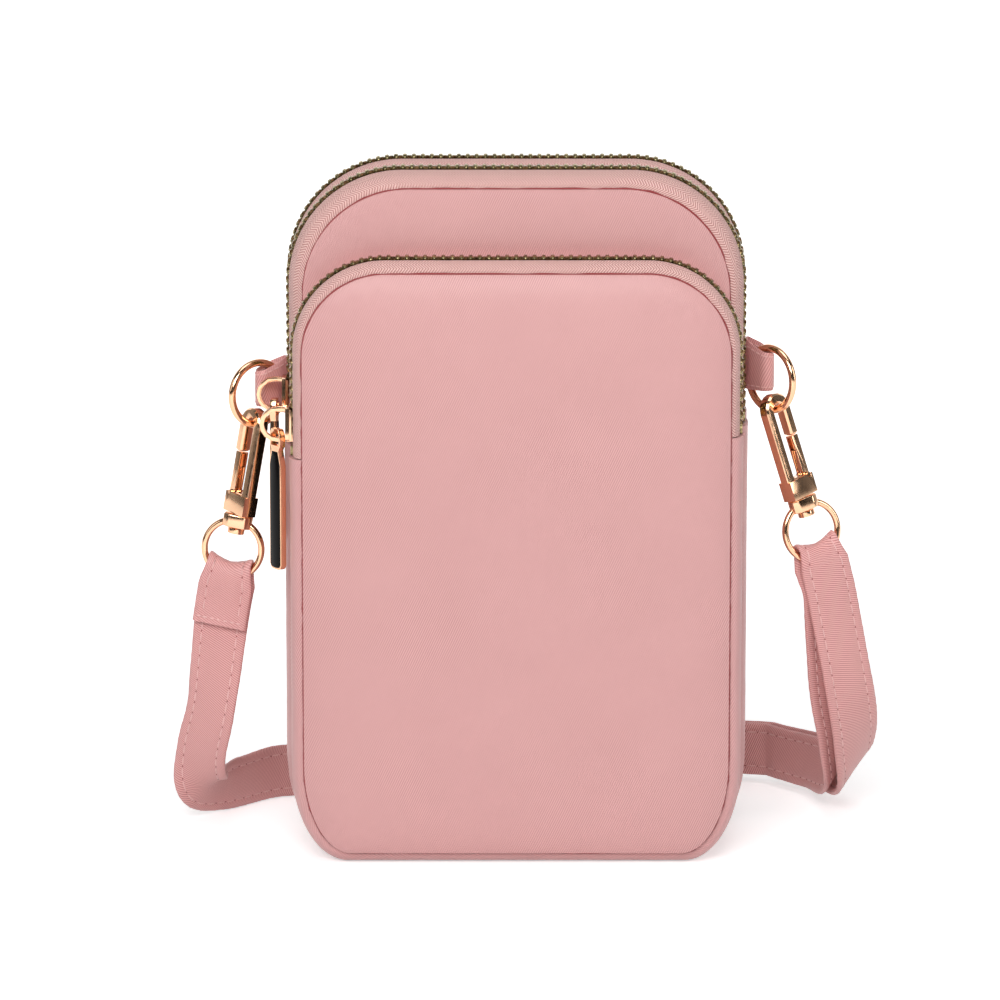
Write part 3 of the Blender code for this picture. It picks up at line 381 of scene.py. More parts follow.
def crest(edge, side_bulge=SIDE_BULGE, top_bulge=TOP_BULGE):
    """The outline of a gusset's fullest line, outside its seam."""
    low_width, low_height, high = (v + CORNER_GROWTH for v in edge[3:])
    bottom, top = edge.bottom - BASE_LIFT, edge.top + top_bulge
    return Outline(edge.half_width + side_bulge, bottom, top, low_width, low_height, high)


FRONT_SEAM = seam(BAG_HALF_WIDTH, POCKET_HEIGHT, POCKET_CORNER)
POCKET_BACK_SEAM = seam(BAG_HALF_WIDTH, POCKET_HEIGHT, POCKET_CORNER)
MIDDLE_SEAM = seam(BAG_HALF_WIDTH, BAG_HEIGHT - CORNER_GROWTH / 2, BAG_CORNER)
REAR_SEAM = seam(BAG_HALF_WIDTH + SEAM_GAP, BAG_HEIGHT, BAG_CORNER)
BACK_SEAM = seam(BAG_HALF_WIDTH, BAG_HEIGHT, BAG_CORNER)
STACK = FRONT_DEPTH + MIDDLE_DEPTH + REAR_DEPTH + 4 * WALL
FRONT_FACE = -STACK / 2
POCKET_BACK = FRONT_FACE + WALL + FRONT_DEPTH
REAR_PARTITION = POCKET_BACK + WALL + MIDDLE_DEPTH
BACK_PANEL = REAR_PARTITION + WALL + REAR_DEPTH


def band(name, near, far, bulges, panel, depth, ends, slider_rise, twist):
    """A gusset with its zip, behind the panel at the given depth."""
    belly = crest(near, bulges[0] * BELLY_SHARE)
    inside = panel + WALL + SEAM_GAP
    deep = depth - 2 * SEAM_GAP
    slider = ends[0] + SLIDER_LENGTH / 2 + STOP_LENGTH + 4 * FIT + slider_rise
    return Band(name, near, crest(near, *bulges), belly, far, inside, deep, *ends, slider, twist)


def bands():
    """The three gussets with their zips, front to back."""
    pocket_ends = (POCKET_HEIGHT * POCKET_ZIP_LEFT_SHARE, POCKET_HEIGHT * POCKET_ZIP_RIGHT_SHARE)
    ends = (BAG_HEIGHT * ZIP_LEFT_SHARE, BAG_HEIGHT * ZIP_RIGHT_SHARE)
    pocket, side = (POCKET_BULGE, TOP_BULGE), (SIDE_BULGE, TOP_BULGE)
    taller = (SIDE_BULGE, TOP_BULGE + CORNER_GROWTH / 2)
    return (
        band("front", FRONT_SEAM, POCKET_BACK_SEAM, pocket, FRONT_FACE, FRONT_DEPTH, pocket_ends, 0, -35),
        band("middle", MIDDLE_SEAM, REAR_SEAM, taller, POCKET_BACK, MIDDLE_DEPTH, ends, SLIDER_RISE, 8),
        band("rear", REAR_SEAM, BACK_SEAM, side, REAR_PARTITION, REAR_DEPTH, ends, 0, 0),
    )


def arch(v):
    """How far a gusset bulges at a share of its depth, flat along its middle."""
    off = max(abs(2 * v - 1), FLAT_SHARE)
    return ((1 - off**ARCH_POWER) / (1 - FLAT_SHARE**ARCH_POWER)) ** (1 / ARCH_POWER)


def offset(line, by):
    """The open line of (depth, height) points moved to its right-hand side."""
    moved = []
    for i, (x, y) in enumerate(line):
        normals = []
        for a, b in ((i - 1, i), (i, i + 1)):
            if a >= 0 and b < len(line):
                along = Vector(line[b]) - Vector(line[a])
                normals.append(Vector((along.y, -along.x)).normalized())
        total = sum(normals, Vector((0, 0)))
        total = total / total.length
        reach = by / max(total.dot(normals[0]), 0.5)
        moved.append((x + total.x * reach, y + total.y * reach))
    return moved


def band_sections(band, fullest, run, shares, wall, left_end, right_end):
    """Cross-sections of a bulging strip; shares tell how deep its outer points lie between the seams."""
    near, full, far = (run(o, left_end, right_end) for o in (band.near, fullest, band.far))
    sections = []
    for a, m, b in zip(near, full, far):
        a, m, b = Vector(a), Vector(m), Vector(b)
        out = m - (a + b) / 2
        height = out.length
        line = [(v * band.depth, arch(v) * height) for v in shares]
        ring = line + offset(line, wall)[::-1]
        section = []
        for depth, rise in ring:
            place = a + (b - a) * (depth / band.depth) + out / height * rise
            section.append((place.x, band.start + depth, place.y))
        sections.append(section)
    return sections


def walk(points, step):
    """Places at even steps along a polyline, each with the direction that points out of the bag."""
    places = []
    travelled, due = 0.0, 0.0
    for a, b in zip(points, points[1:]):
        a, b = Vector(a), Vector(b)
        length = (b - a).length
        along = (b - a) / length
        while due <= travelled + length:
            places.append((a + along * (due - travelled), Vector((along.y, -along.x))))
            due += step
        travelled += length
    return places


def slider_frame(band):
    """Origin at the slider's middle on the tape: X out of the bag, Y to its back, Z up the zip."""
    place = Vector((-band.crest.half_width, band.start + band.depth / 2, band.slider))
    frame = Matrix(((-1, 0, 0), (0, 1, 0), (0, 0, 1))).to_4x4()
    frame.translation = place
    return frame


def pull_frame(band):
    """Origin where the pull hinges; the blade hangs down its Z, turned by the band's twist."""
    frame = slider_frame(band)
    frame.translation = frame @ Vector((CHAIN_RISE + SLIDER_FIT + SLIDER_PLATE + BAIL_LEG, 0, 0))
    return frame @ Matrix.Rotation(math.radians(band.twist), 4, "Z")


def pull_outline():
    """Half of the blade's outline from its waist to its foot: (share of half width, height)."""
    waist = -BAIL_RADIUS - BAIL_THICK / 2 - PULL_EYE_FIT - PULL_EYE_BAR
    foot = waist + PULL_EYE_BAR - PULL_LENGTH
    corner = PULL_HALF_WIDTH / 2
    line = [(0.6, waist), (1, waist - 3 * PULL_EYE_BAR), (1, foot + corner)]
    return line + [(0.8, foot + corner / 4), (0.5, foot)]


def side_frame(x, y, z):
    return Matrix((x, y, z)).transposed().to_4x4()


SIDES = (
    Side("left", -1, 38, 10, 10, 0.6768, (0.6541, 0.7351), (0.6578, 0.7097)),
    Side("right", 1, 48, 17, 24, 0.7000, (0.6784, 0.7622), (0.6822, 0.7378)),
)


def outward(side):
    """The way the tab leaves the bag, level, turned a little to the front."""
    yaw = math.radians(side.ring_yaw)
    return Vector((side.sign * math.cos(yaw), -math.sin(yaw), 0))


def tab_root(side):
    reach = crest(REAR_SEAM).half_width + FIT + RING_WIRE / 2
    return Vector((side.sign * reach, REAR_PARTITION + WALL / 2, BAG_HEIGHT * side.ring_share))


def ring_centre(side):
    return tab_root(side) + outward(side) * (RING_RADIUS + RING_WIRE + FIT)


def ring_turn(side):
    """How far round from the ring's lowest point the hook hangs, so that it crosses the wire squarely."""
    yaw, lean = math.radians(side.ring_yaw), math.radians(side.lean)
    return math.atan(math.cos(yaw) * math.tan(lean))


def hook_axis(side):
    lean = math.radians(side.lean)
    return Vector((-side.sign * math.sin(lean), 0, math.cos(lean)))


def hook_frame(side):
    """Origin at the rivet's foot on the post's axis, Z up the hook, X from its spine to its nose."""
    turn = ring_turn(side)
    way = outward(side) * math.sin(turn) - Vector((0, 0, math.cos(turn)))
    cross = ring_centre(side) + RING_RADIUS * way
    up = hook_axis(side)
    wire = outward(side) * math.cos(turn) + Vector((0, 0, math.sin(turn)))
    depth = wire * -side.sign
    across = depth.cross(up).normalized()
    frame = side_frame(across, depth, up)
    frame.translation = cross - up * LOOP_HEIGHT
    return frame


def eye_frame(side):
    """Origin at the eye ring's centre, Z along the post, X along the ring's level width, Y through it."""
    up = hook_axis(side)
    yaw = math.radians(side.eye_yaw)
    level = Vector((math.cos(yaw), side.sign * math.sin(yaw), 0))
    level = (level - up * level.dot(up)).normalized()
    frame = side_frame(level, up.cross(level), up)
    drop = RIVET_HEIGHT + FIT + EYE_BLOCK_HEIGHT / 2 - EYE_RADIUS
    frame.translation = hook_frame(side).translation + up * drop
    return frame


Station = namedtuple("Station", "place width_way width cup cup_way")


def smooth_line(points, steps):
    """A smooth curve through points, as vectors, with the last one included."""
    padded = [points[0] * 2 - points[1]] + points + [points[-1] * 2 - points[-2]]
    line = []
    for a, b, c, d in zip(padded, padded[1:], padded[2:], padded[3:]):
        for i in range(steps):
            t = i / steps
            curved = (2 * a - 5 * b + 4 * c - d) * t * t + (3 * b - a - 3 * c + d) * t**3
            line.append(0.5 * (2 * b + (c - a) * t + curved))
    return line + [points[-1]]


def ease(values, steps):
    """Even steps between numbers or vectors, to match smooth_line."""
    made = []
    for a, b in zip(values, values[1:]):
        made += [a + (b - a) * (i / steps) for i in range(steps)]
    return made + [values[-1]]


def strap_pocket(side, outer_reach, inner_reach):
    """Up one face of the eye ring's lower wire, over it and down the other."""
    frame = eye_frame(side)
    half = STRAP_THICK / 2
    gap = EYE_WIRE + FIT + half
    sewn = half + FIT
    top = -CREST_DROP
    foot = -EYE_RADIUS - EYE_WIRE - STRAP_THICK
    made = []
    for reach, sign in ((outer_reach, -1), (inner_reach, 1)):
        part = [(sign * gap, top - gap - STRAP_WIDTH * 0.15, STRAP_WIDTH * 0.93, CREST_CUP / 3)]
        part.append((sign * gap, foot + half, STRAP_WIDTH, 0))
        part.append((sign * (gap + sewn) / 2, foot - STRAP_WIDTH * 0.14, STRAP_WIDTH, 0))
        for share in reach:
            part.append((sign * sewn, foot - STRAP_WIDTH * share, STRAP_WIDTH, 0))
        made.append(part)
    over = arc((0, top - gap), (gap, gap), 180, 0, 6)
    line = made[0][::-1] + [(y, z, CREST_WIDTH, CREST_CUP) for y, z in over] + made[1]
    up = hook_axis(side)
    level = frame.col[0].to_3d()
    return [Station(frame @ Vector((0, y, z)), level, width, cup, up) for y, z, width, cup in line]


def plan_stations(points, height):
    """Stations that stand on edge over plan points."""
    return [Station(Vector((x, y, height)), UP, STRAP_WIDTH, 0, UP) for x, y in points]


def hank():
    """Runs side by side behind the bag, joined by half turns, ending to the right."""
    line = []
    radius = HANK_PITCH / 2
    for i in range(HANK_RUNS):
        y = HANK_BACK + i * HANK_PITCH
        line.append((0, y))
        if i < HANK_RUNS - 1:
            x, start = (-HANK_HALF_LENGTH, 270) if i % 2 else (HANK_HALF_LENGTH, -90)
            line += arc((x, y + radius), (radius, radius), start, 90, HANK_STEPS)
    return line[1:]


def adjuster_slots():
    """The two slots' middles along X."""
    step = ADJUSTER_BAR / 2 + ADJUSTER_SLOT / 2
    return ADJUSTER_X - step, ADJUSTER_X + step


def weave():
    """The long run through the adjuster: in front of the outer bars, behind the middle one."""
    half = STRAP_THICK / 2
    left, right = adjuster_slots()
    bar_out = ADJUSTER_SLOT / 2 + ADJUSTER_BAR
    edge = ADJUSTER_SLOT / 2 - half
    y = ADJUSTER_BACK
    ahead = y - ADJUSTER_HALF_DEPTH - FIT - half
    behind = y + ADJUSTER_HALF_DEPTH + 2 * FIT + STRAP_THICK + half
    line = [(left - bar_out - ADJUSTER_SLOT, ahead), (left - edge, ahead)]
    line += [(left - half / 4, y), (left + ADJUSTER_SLOT / 3, behind)]
    line += [(right - ADJUSTER_SLOT / 3, behind), (right + half / 4, y)]
    line += [(right + edge, ahead), (right + bar_out + ADJUSTER_SLOT, ahead)]
    return line


def end_loop():
    """The sewn end: in front of the right bar and the long run, then round the middle bar."""
    half = STRAP_THICK / 2
    right = adjuster_slots()[1]
    y = ADJUSTER_BACK
    turn = ADJUSTER_BAR / 2 + FIT + half
    outside = turn + STRAP_THICK + FIT
    bar_out = ADJUSTER_SLOT / 2 + ADJUSTER_BAR
    line = [(right + bar_out + ADJUSTER_SLOT, y - outside), (right + ADJUSTER_SLOT / 2, y - outside)]
    return line + arc((ADJUSTER_X, y), (turn, turn), 270, 30, 8)


def feed(tree, node, feeds):
    """Gives a node's inputs their values, or joins them to other nodes' outputs."""
    for key, source in feeds.items():
        if isinstance(source, bpy.types.NodeSocket):
            tree.links.new(source, node.inputs[key])
        else:
            node.inputs[key].default_value = source


def add(tree, kind, feeds, out=0, **settings):
    """One output of a new shader node."""
    node = tree.nodes.new(f"ShaderNode{kind}")
    for key, value in settings.items():
        setattr(node, key, value)
    feed(tree, node, feeds)
    return node.outputs[out]


def look(name, colour, roughness, metallic=0.0):
    """A plain finish: its material, its tree and its shader."""
    made = bpy.data.materials.new(name)
    made.use_nodes = True
    tree = made.node_tree
    shader = tree.nodes["Principled BSDF"]
    feed(tree, shader, {"Base Color": (*colour, 1), "Roughness": roughness, "Metallic": metallic})
    return made, tree, shader


def own_place(tree, kind="Object"):
    """Coordinates in the piece's own space, in metres."""
    return add(tree, "TexCoord", {}, kind)


def turned(tree, where, degrees):
    return add(tree, "Mapping", {"Vector": where, "Rotation": [math.radians(d) for d in degrees]})


def ribs_at(tree, where, pitch, rough):
    """Even ribs along X, one in each pitch."""
    feeds = {"Vector": where, "Scale": math.tau / (WAVE_FACTOR * pitch), "Distortion": rough}
    feeds.update({"Detail": 2, "Detail Scale": 1.5})
    return add(tree, "TexWave", feeds, "Fac", wave_type="BANDS", bands_direction="X")


def noise_at(tree, where, scale, detail):
    return add(tree, "TexNoise", {"Vector": where, "Scale": scale, "Detail": detail}, "Fac")


def bump(tree, height, strength, distance, under=None):
    feeds = {"Height": height, "Strength": strength, "Distance": distance}
    if under:
        feeds["Normal"] = under
    return add(tree, "Bump", feeds)


def maths(tree, operation, *feeds):
    return add(tree, "Math", dict(enumerate(feeds)), operation=operation)


def spread(tree, value, levels, results):
    """A value carried from one pair of levels to another."""
    keys = ("From Min", "From Max", "To Min", "To Max")
    return add(tree, "MapRange", {"Value": value, **dict(zip(keys, levels + results))}, "Result")


def tint(tree, factor, levels, colours):
    """Colours blended between two levels of a factor."""
    out = add(tree, "ValToRGB", {"Fac": factor}, "Color")
    for element, level, colour in zip(out.node.color_ramp.elements, levels, colours):
        element.position = level
        element.color = (*colour, 1)
    return out


def mixed(tree, factor, first, second, **settings):
    return add(tree, "Mix", {"Factor": factor, 6: first, 7: second}, 2, data_type="RGBA", **settings)


def twill(name, colours, degrees, kind="Object", roughness=0.42, shows=(0.1, 0.9)):
    """Satin nylon: fine ribs on the slant, a soft sheen, and slow changes of tone."""
    deep, pale = colours
    made, tree, shader = look(name, pale, roughness)
    where = own_place(tree, kind)
    ribs = ribs_at(tree, turned(tree, where, degrees), TWILL_PITCH, 0.6)
    plain = [(p + d) / 2 for p, d in zip(pale, deep)]
    ribbed = tint(tree, ribs, (0.1, 0.9), colours)
    fade = spread(tree, noise_at(tree, where, PATCH_SCALE, 1), (0.38, 0.62), shows)
    worn = mixed(tree, fade, (*plain, 1), ribbed)
    toned = tint(tree, noise_at(tree, where, TONE_SCALE, 3), (0.3, 0.7), TONE_COLOURS)
    rise = bump(tree, ribs, 0.35, TWILL_RISE)
    feeds = {"Sheen Weight": 0.175, "Sheen Roughness": 0.4, "Sheen Tint": SHEEN_TINT}
    feeds["Specular IOR Level"] = 0.45
    feeds["Base Color"] = mixed(tree, 1, worn, toned, blend_type="MULTIPLY")
    feeds["Normal"] = bump(tree, noise_at(tree, where, GRAIN_SCALE, 2), 0.15, GRAIN_RISE, rise)
    feed(tree, shader, feeds)
    return made


def woven_tape(name):
    """Zip tape: rows of fine chevrons along it, matt and paler than the cloth."""
    made, tree, shader = look(name, TAPE_COLOURS[1], 0.72)
    parted = add(tree, "SeparateXYZ", {0: own_place(tree, "UV")}).node.outputs
    fold = maths(tree, "PINGPONG", parted["Y"], TAPE_COLUMN)
    slide = maths(tree, "MULTIPLY_ADD", fold, TAPE_SLANT, parted["X"])
    ribs = ribs_at(tree, add(tree, "CombineXYZ", {"X": slide}), TAPE_PITCH, 0.3)
    colour = tint(tree, ribs, (0.15, 0.85), TAPE_COLOURS)
    rise = bump(tree, ribs, 0.6, TAPE_RISE)
    feed(tree, shader, {"Sheen Weight": 0.1, "Base Color": colour, "Normal": rise})
    return made


def plated(name, colour, roughness=0.12):
    """Polished plating with faint rubbing marks."""
    made, tree, shader = look(name, colour, roughness, 1.0)
    where = own_place(tree)
    marks = noise_at(tree, where, RUB_SCALE, 4)
    rubbed = spread(tree, marks, (0, 1), (roughness * 0.7, roughness * 1.8))
    rise = bump(tree, noise_at(tree, where, METAL_SCALE, 1), 0.12, METAL_RISE)
    feed(tree, shader, {"Roughness": rubbed, "Normal": rise})
    return made


def aged_brass(name):
    """Antiqued brass: darker in the hollows, bright where it rubs."""
    made, tree, shader = look(name, BRASS_COLOURS[0], 0.27, 1.0)
    patina = noise_at(tree, own_place(tree), PATINA_SCALE, 3)
    feed(tree, shader, {"Base Color": tint(tree, patina, (0.35, 0.68), BRASS_COLOURS)})
    return made


def enamel(name):
    """Black enamel with a slow flow in its gloss."""
    made, tree, shader = look(name, BLACK, 0.14)
    rise = bump(tree, noise_at(tree, own_place(tree), ENAMEL_SCALE, 1), 0.1, METAL_RISE)
    feed(tree, shader, {"Specular IOR Level": 0.08, "Normal": rise})
    return made


def thread(name, colour):
    """Twisted sewing thread."""
    made, tree, shader = look(name, colour, 0.5)
    twist = ribs_at(tree, turned(tree, own_place(tree), (20, 35, 50)), TWILL_PITCH / 2, 0.5)
    feed(tree, shader, {"Sheen Weight": 0.4, "Normal": bump(tree, twist, 0.5, THREAD_RISE)})
    return made


def all_looks():
    """Each finish by the kind of piece that wears it."""
    return {
        "front": twill("panel_twill", CLOTH_COLOURS, (0, -25, 0)),
        "side": twill("gusset_twill", CLOTH_COLOURS, (0, 0, 62), "UV"),
        "strap": twill("strap_twill", STRAP_COLOURS, (0, 0, -24), "UV", 0.46, (0.6, 1.0)),
        "tape": woven_tape("zip_tape_weave"),
        "gold": plated("rose_gold_plating", ROSE_GOLD),
        "teeth": aged_brass("aged_brass"),
        "enamel": enamel("black_enamel_face"),
        "thread": thread("pink_thread", PINK_THREAD),
        # The seam look: dark thread whose colour is partly painted shadow.
        "seam": thread("seam_thread", SEAM_THREAD_AND_SHADE),
    }


LOOKS = all_looks()


def placed(name, data):
    """A new object with this data, in the scene."""
    obj = bpy.data.objects.new(name, data)
    bpy.context.scene.collection.objects.link(obj)
    return obj


def unroll(mesh, sections):
    """Texture coordinates in metres for a lofted strip: along it, and round its section."""
    count = len(sections[0])
    along = lengths([sum((Vector(p) for p in s), Vector()) / count for s in sections])
    widest = sections[len(sections) // 2]
    girth = lengths(list(widest) + [widest[0]])
    layer = mesh.uv_layers.new(name="weave")
    for face in mesh.polygons:
        spots = [divmod(v, count) for v in face.vertices]
        across = [j for i, j in spots]
        closing = 0 in across and count - 1 in across
        for corner, (i, j) in zip(face.loop_indices, spots):
            layer.uv[corner].vector = (along[i], girth[count if closing and j == 0 else j])


def piece(name, shape, kind, body="bag", replaces=None, smooth=50, sections=None):
    """A visible piece from its points and faces, riding on a body unless there is none."""
    mesh = bpy.data.meshes.new(name)
    mesh.from_pydata([tuple(p) for p in shape[0]], [], shape[1])
    mesh.update()
    mesh.materials.append(LOOKS[kind])
    if sections:
        unroll(mesh, sections)
    mesh.shade_smooth()
    mesh.set_sharp_from_angle(angle=math.radians(smooth))
    obj = placed(name, mesh)
    if body:
        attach(obj, body)
    if replaces:
        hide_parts(*replaces)
    return obj


def strip_piece(name, sections, kind, replaces=None):
    """A lofted strip whose weave runs along it."""
    return piece(name, skin(sections), kind, replaces=replaces, sections=sections)


def skin(sections, wrap=False):
    """Points and faces of a closed body through sections of as many points each."""
    count = len(sections[0])
    points = [p for section in sections for p in section]
    faces = []
    last = len(sections) if wrap else len(sections) - 1
    for i in range(last):
        here = i * count
        there = (i + 1) % len(sections) * count
        for j in range(count):
            k = (j + 1) % count
            faces.append((here + j, here + k, there + k, there + j))
    if not wrap:
        faces.append(tuple(reversed(range(count))))
        faces.append(tuple(range(last * count, last * count + count)))
    if volume(points, faces) < 0:
        faces = [tuple(reversed(face)) for face in faces]
    return points, faces


def gathered(parts):
    """Several bodies as one list of points and faces."""
    points, faces = [], []
    for more_points, more_faces in parts:
        start = len(points)
        points += list(more_points)
        faces += [tuple(start + i for i in face) for face in more_faces]
    return points, faces


def waver(place, length):
    """Smooth noise between -1 and 1 that changes over the given length."""
    return noise.noise(Vector(place) / length)


def lengths(points):
    """How far each point lies along the line."""
    total, made = 0.0, [0.0]
    for a, b in zip(points, points[1:]):
        total += (Vector(b) - Vector(a)).length
        made.append(total)
    return made


def pucker_at(travel, seed):
    """How strongly stitching draws the cloth in, at a distance along the seam."""
    slow = 2.2 * waver((travel, seed, 0), PUCKER_LENGTH * 4)
    main = math.sin(travel / PUCKER_LENGTH * math.tau + slow)
    return main * (0.55 + 0.45 * waver((travel, seed, 1), PUCKER_LENGTH * 3))


def near_seam(off, times, fade):
    """How much of a pucker is left at a distance from its seam."""
    return math.exp(-off / PUCKER_REACH * times) * min(off / fade, 1)


def push(section, j, rise):
    """Moves an outer point of a wall's section away from the point behind it."""
    place = Vector(section[j])
    out = (place - Vector(section[-1 - j])).normalized()
    section[j] = tuple(place + out * rise)


def eased(steps):
    """Shares from 0 to 1, closer together at both ends."""
    return [0.5 - 0.5 * math.cos(math.pi * i / steps) for i in range(steps + 1)]


def travel_of(sections):
    return lengths([(s[0][0], s[0][2]) for s in sections])


def fine_gusset(band):
    """A lined side strip that swells between its seams, with small puckers and soft dents."""
    left, right = band.zip_left - SEAM_GAP / 2, band.zip_right - SEAM_GAP / 2
    shares = eased(GUSSET_STEPS)
    sections = band_sections(band, band.belly, lower_run, shares, WALL, left, right)
    count = len(shares)
    for i, (section, run) in enumerate(zip(sections, travel_of(sections))):
        strength = min(i / 4, (len(sections) - 1 - i) / 4, 1)
        if sum(p[2] for p in section[:count]) / count < STIFF_HEIGHT:
            strength *= STIFF_SHARE
        for j, share in enumerate(shares):
            off = min(share, 1 - share) * band.depth
            rise = PUCKER * (1 + pucker_at(run, band.start + round(share)))
            rise *= near_seam(off, 2, GUSSET_FADE)
            dent = 0.5 + 0.5 * waver(section[j], WRINKLE_LENGTH / 2)
            rise += WRINKLE * DENT_SHARE * dent * math.sin(math.pi * share)
            push(section, j, -rise * strength)
    strip_piece(f"{band.name}_gusset_cloth", sections, "side", [f"{band.name}_gusset"])


def whole_loop(o):
    """The closed outline, from half way up its left side."""
    low = o.bottom + o.low_height
    middle = low + (o.top - o.high - low) / 2
    return lower_run(o, middle, middle) + upper_run(o, middle, middle)[1:-1]


def fine_tapes(band):
    """Both tape halves, drawn in a little where they are sewn."""
    edge = (CHAIN_HALF_WIDTH + FIT) / band.depth
    left, right = band.zip_left + SEAM_GAP / 2, band.zip_right + SEAM_GAP / 2
    near = [s * (0.5 - edge) for s in eased(TAPE_STEPS)]
    for place, shares in (("outer", near), ("inner", [1 - v for v in reversed(near)])):
        sections = band_sections(band, band.crest, upper_run, shares, TAPE_WALL, left, right)
        for section, run in zip(sections, travel_of(sections)):
            rise = PUCKER * 0.8 * (1 + pucker_at(run, band.start))
            for j, share in enumerate(shares):
                off = min(share, 1 - share) * band.depth
                push(section, j, -rise * near_seam(off, 3, EDGE_FADE))
        old = [f"{band.name}_zip_tape_{place}"]
        strip_piece(f"{band.name}_{place}_tape_cloth", sections, "tape", old)


def squared(value):
    return max(min(value * TOOTH_SQUARE, 1), -1)


def tooth(frame, side):
    """One tooth: a clamp over the tape's cord, a waist, and a nose that meshes with its neighbours."""
    half = TOOTH_PITCH * TOOTH_HALF_SHARE
    top = CHAIN_RISE * TOOTH_TOP_SHARE
    low = -TAPE_WALL - CHAIN_RISE
    middle = (top + low) / 2
    sections = []
    for across_share, thick_share, tall_share in TOOTH_SHARES:
        across = side * CHAIN_HALF_WIDTH * (TOOTH_OUT_SHARE + across_share)
        thick, high = half * thick_share, (top - low) / 2 * tall_share
        ring = []
        for a in around(TOOTH_SIDES):
            rise, along = squared(math.sin(a)) * high, squared(math.cos(a)) * thick
            ring.append(frame @ Vector((middle + rise, across, along)))
        sections.append(ring)
    return skin(sections)


def fine_teeth(band):
    """Single teeth in two rows, half a pitch apart, from the far stop to the slider."""
    start = band.zip_right + STOP_LENGTH + 2 * FIT
    end = band.slider - SLIDER_LENGTH / 2 + SLIDER_POST_LENGTH + FIT
    path = upper_run(band.crest, end, start, 4 * FINE_CORNER, FINE_SIDE)
    parts = []
    for i, (place, out) in enumerate(walk(path, TOOTH_PITCH / 2)):
        frame = side_frame(Vector((out.x, 0, out.y)), Y_WAY, Vector((-out.y, 0, out.x)))
        frame.translation = Vector((place.x, band.start + band.depth / 2, place.y))
        parts.append(tooth(frame, 1 if i % 2 else -1))
    old = [f"{band.name}_zip_teeth"]
    piece(f"{band.name}_teeth_rows", gathered(parts), "teeth", replaces=old, smooth=35)


def panel_loops(outline):
    """Closed loops from the seam to the panel's middle, each with its distance from the seam."""
    made = []
    for i in range(PANEL_RINGS):
        off = (i / (PANEL_RINGS - 1)) ** 1.7 * 0.90 * outline.half_width
        shape = inset(outline, off)
        tight = shape.half_width * 0.95
        shape = shape._replace(high=min(shape.high, tight), low_width=min(shape.low_width, tight))
        made.append((off, whole_loop(shape)))
    return made


def fine_panel(node, outline, face, crown, towards):
    """A filled cloth panel: it rolls out of its seam, swells, and ripples along the stitching."""
    outside, inside = (face, face + WALL)[::-towards]
    outer, inner = [], []
    for off, loop in panel_loops(outline):
        roll = 1 - math.exp(-off / ROLL_REACH)
        swell = 1 - (1 - min(off / (outline.half_width * SWELL_SHARE), 1)) ** 2
        raised = crown * (ROLL_SHARE * roll + (1 - ROLL_SHARE) * swell)
        ring = []
        for (x, z), run in zip(loop, lengths(loop)):
            rise = raised + PUCKER * pucker_at(run, face) * near_seam(off, 1, EDGE_FADE)
            broad = waver((x, z * 0.7, face * 9), WRINKLE_LENGTH)
            place = (x * 0.5 + z * 0.25, z * 0.9, face * 5 + 3)
            broad += 0.4 * waver(place, WRINKLE_LENGTH * 0.6)
            rise += WRINKLE * broad * min(off / FOLD_FADE, 1)
            ring.append((x, outside + towards * max(rise, -WALL / 3), z))
        outer.append(ring)
        back = inside + towards * crown * LINING_CROWN_SHARE * min(off / LINING_FADE, 1)
        inner.append([(x, back, z) for x, z in loop])
    piece(f"{node}_cloth", skin(outer[::-1] + inner), "front", replaces=[node])


def circle(centre, out, up, radius, sides):
    """A round section by its middle and the two ways across it."""
    return [centre + out * (radius * math.cos(a)) + up * (radius * math.sin(a)) for a in around(sides)]


def seam_line(name, outline, depth):
    """The dark line sunk between a panel and its side strip: a thread cord whose dark colour is partly
    the red thread and partly painted shadow of the seam.
    """
    loop = whole_loop(outline)
    sections = []
    for i, (x, z) in enumerate(loop):
        along = (Vector(loop[(i + 1) % len(loop)]) - Vector(loop[i - 1])).normalized()
        out = Vector((along.y, 0, -along.x))
        sway = SEAM_CORD * SEAM_SWAY_SHARE * waver((x, z, depth), PUCKER_LENGTH / 2)
        fat = SEAM_CORD * (1 + waver((z, x, depth), PUCKER_LENGTH) / 3)
        sections.append(circle(Vector((x, depth, z)) + out * sway, out, Y_WAY, fat, CORD_SIDES))
    # The cord wears the dark seam colour, partly thread and partly painted shadow of the seam.
    piece(name, skin(sections, wrap=True), "seam")


def torus(frame, radius, wire):
    """A wire ring round the frame's Y."""
    sections = []
    for i in range(RING_STEPS):
        a = math.tau * i / RING_STEPS
        out = Vector((math.cos(a), 0, math.sin(a)))
        sections.append([frame @ p for p in circle(out * radius, out, Y_WAY, wire, WIRE_SIDES)])
    return skin(sections, wrap=True)


def rounded(points, faces, width, segments=3):
    """The same body with its sharp edges rolled over."""
    mesh = bmesh.new()
    corners = [mesh.verts.new(p) for p in points]
    for face in faces:
        if len(set(face)) > 2:
            mesh.faces.new([corners[i] for i in face])
    bmesh.ops.remove_doubles(mesh, verts=mesh.verts, dist=WELD)
    flat, sharp = math.radians(1.5), math.radians(32)
    bmesh.ops.dissolve_limit(mesh, angle_limit=flat, verts=mesh.verts, edges=mesh.edges)
    edges = [e for e in mesh.edges if len(e.link_faces) == 2 and e.calc_face_angle(0) > sharp]
    how = {"segments": segments, "profile": 0.55, "affect": "EDGES", "clamp_overlap": True}
    bmesh.ops.bevel(mesh, geom=edges, offset=width, **how)
    mesh.verts.index_update()
    made = [v.co.copy() for v in mesh.verts], [tuple(v.index for v in f.verts) for f in mesh.faces]
    mesh.free()
    return made


def body_holding(node):
    bodies = frame["record"]["behaviour"]["bodies"]
    return next(body for body, nodes in bodies.items() if node in nodes)


def node_shape(node):
    """A node's own points and faces."""
    mesh = frame["nodes"][node].data
    return [v.co.copy() for v in mesh.vertices], [tuple(f.vertices) for f in mesh.polygons]


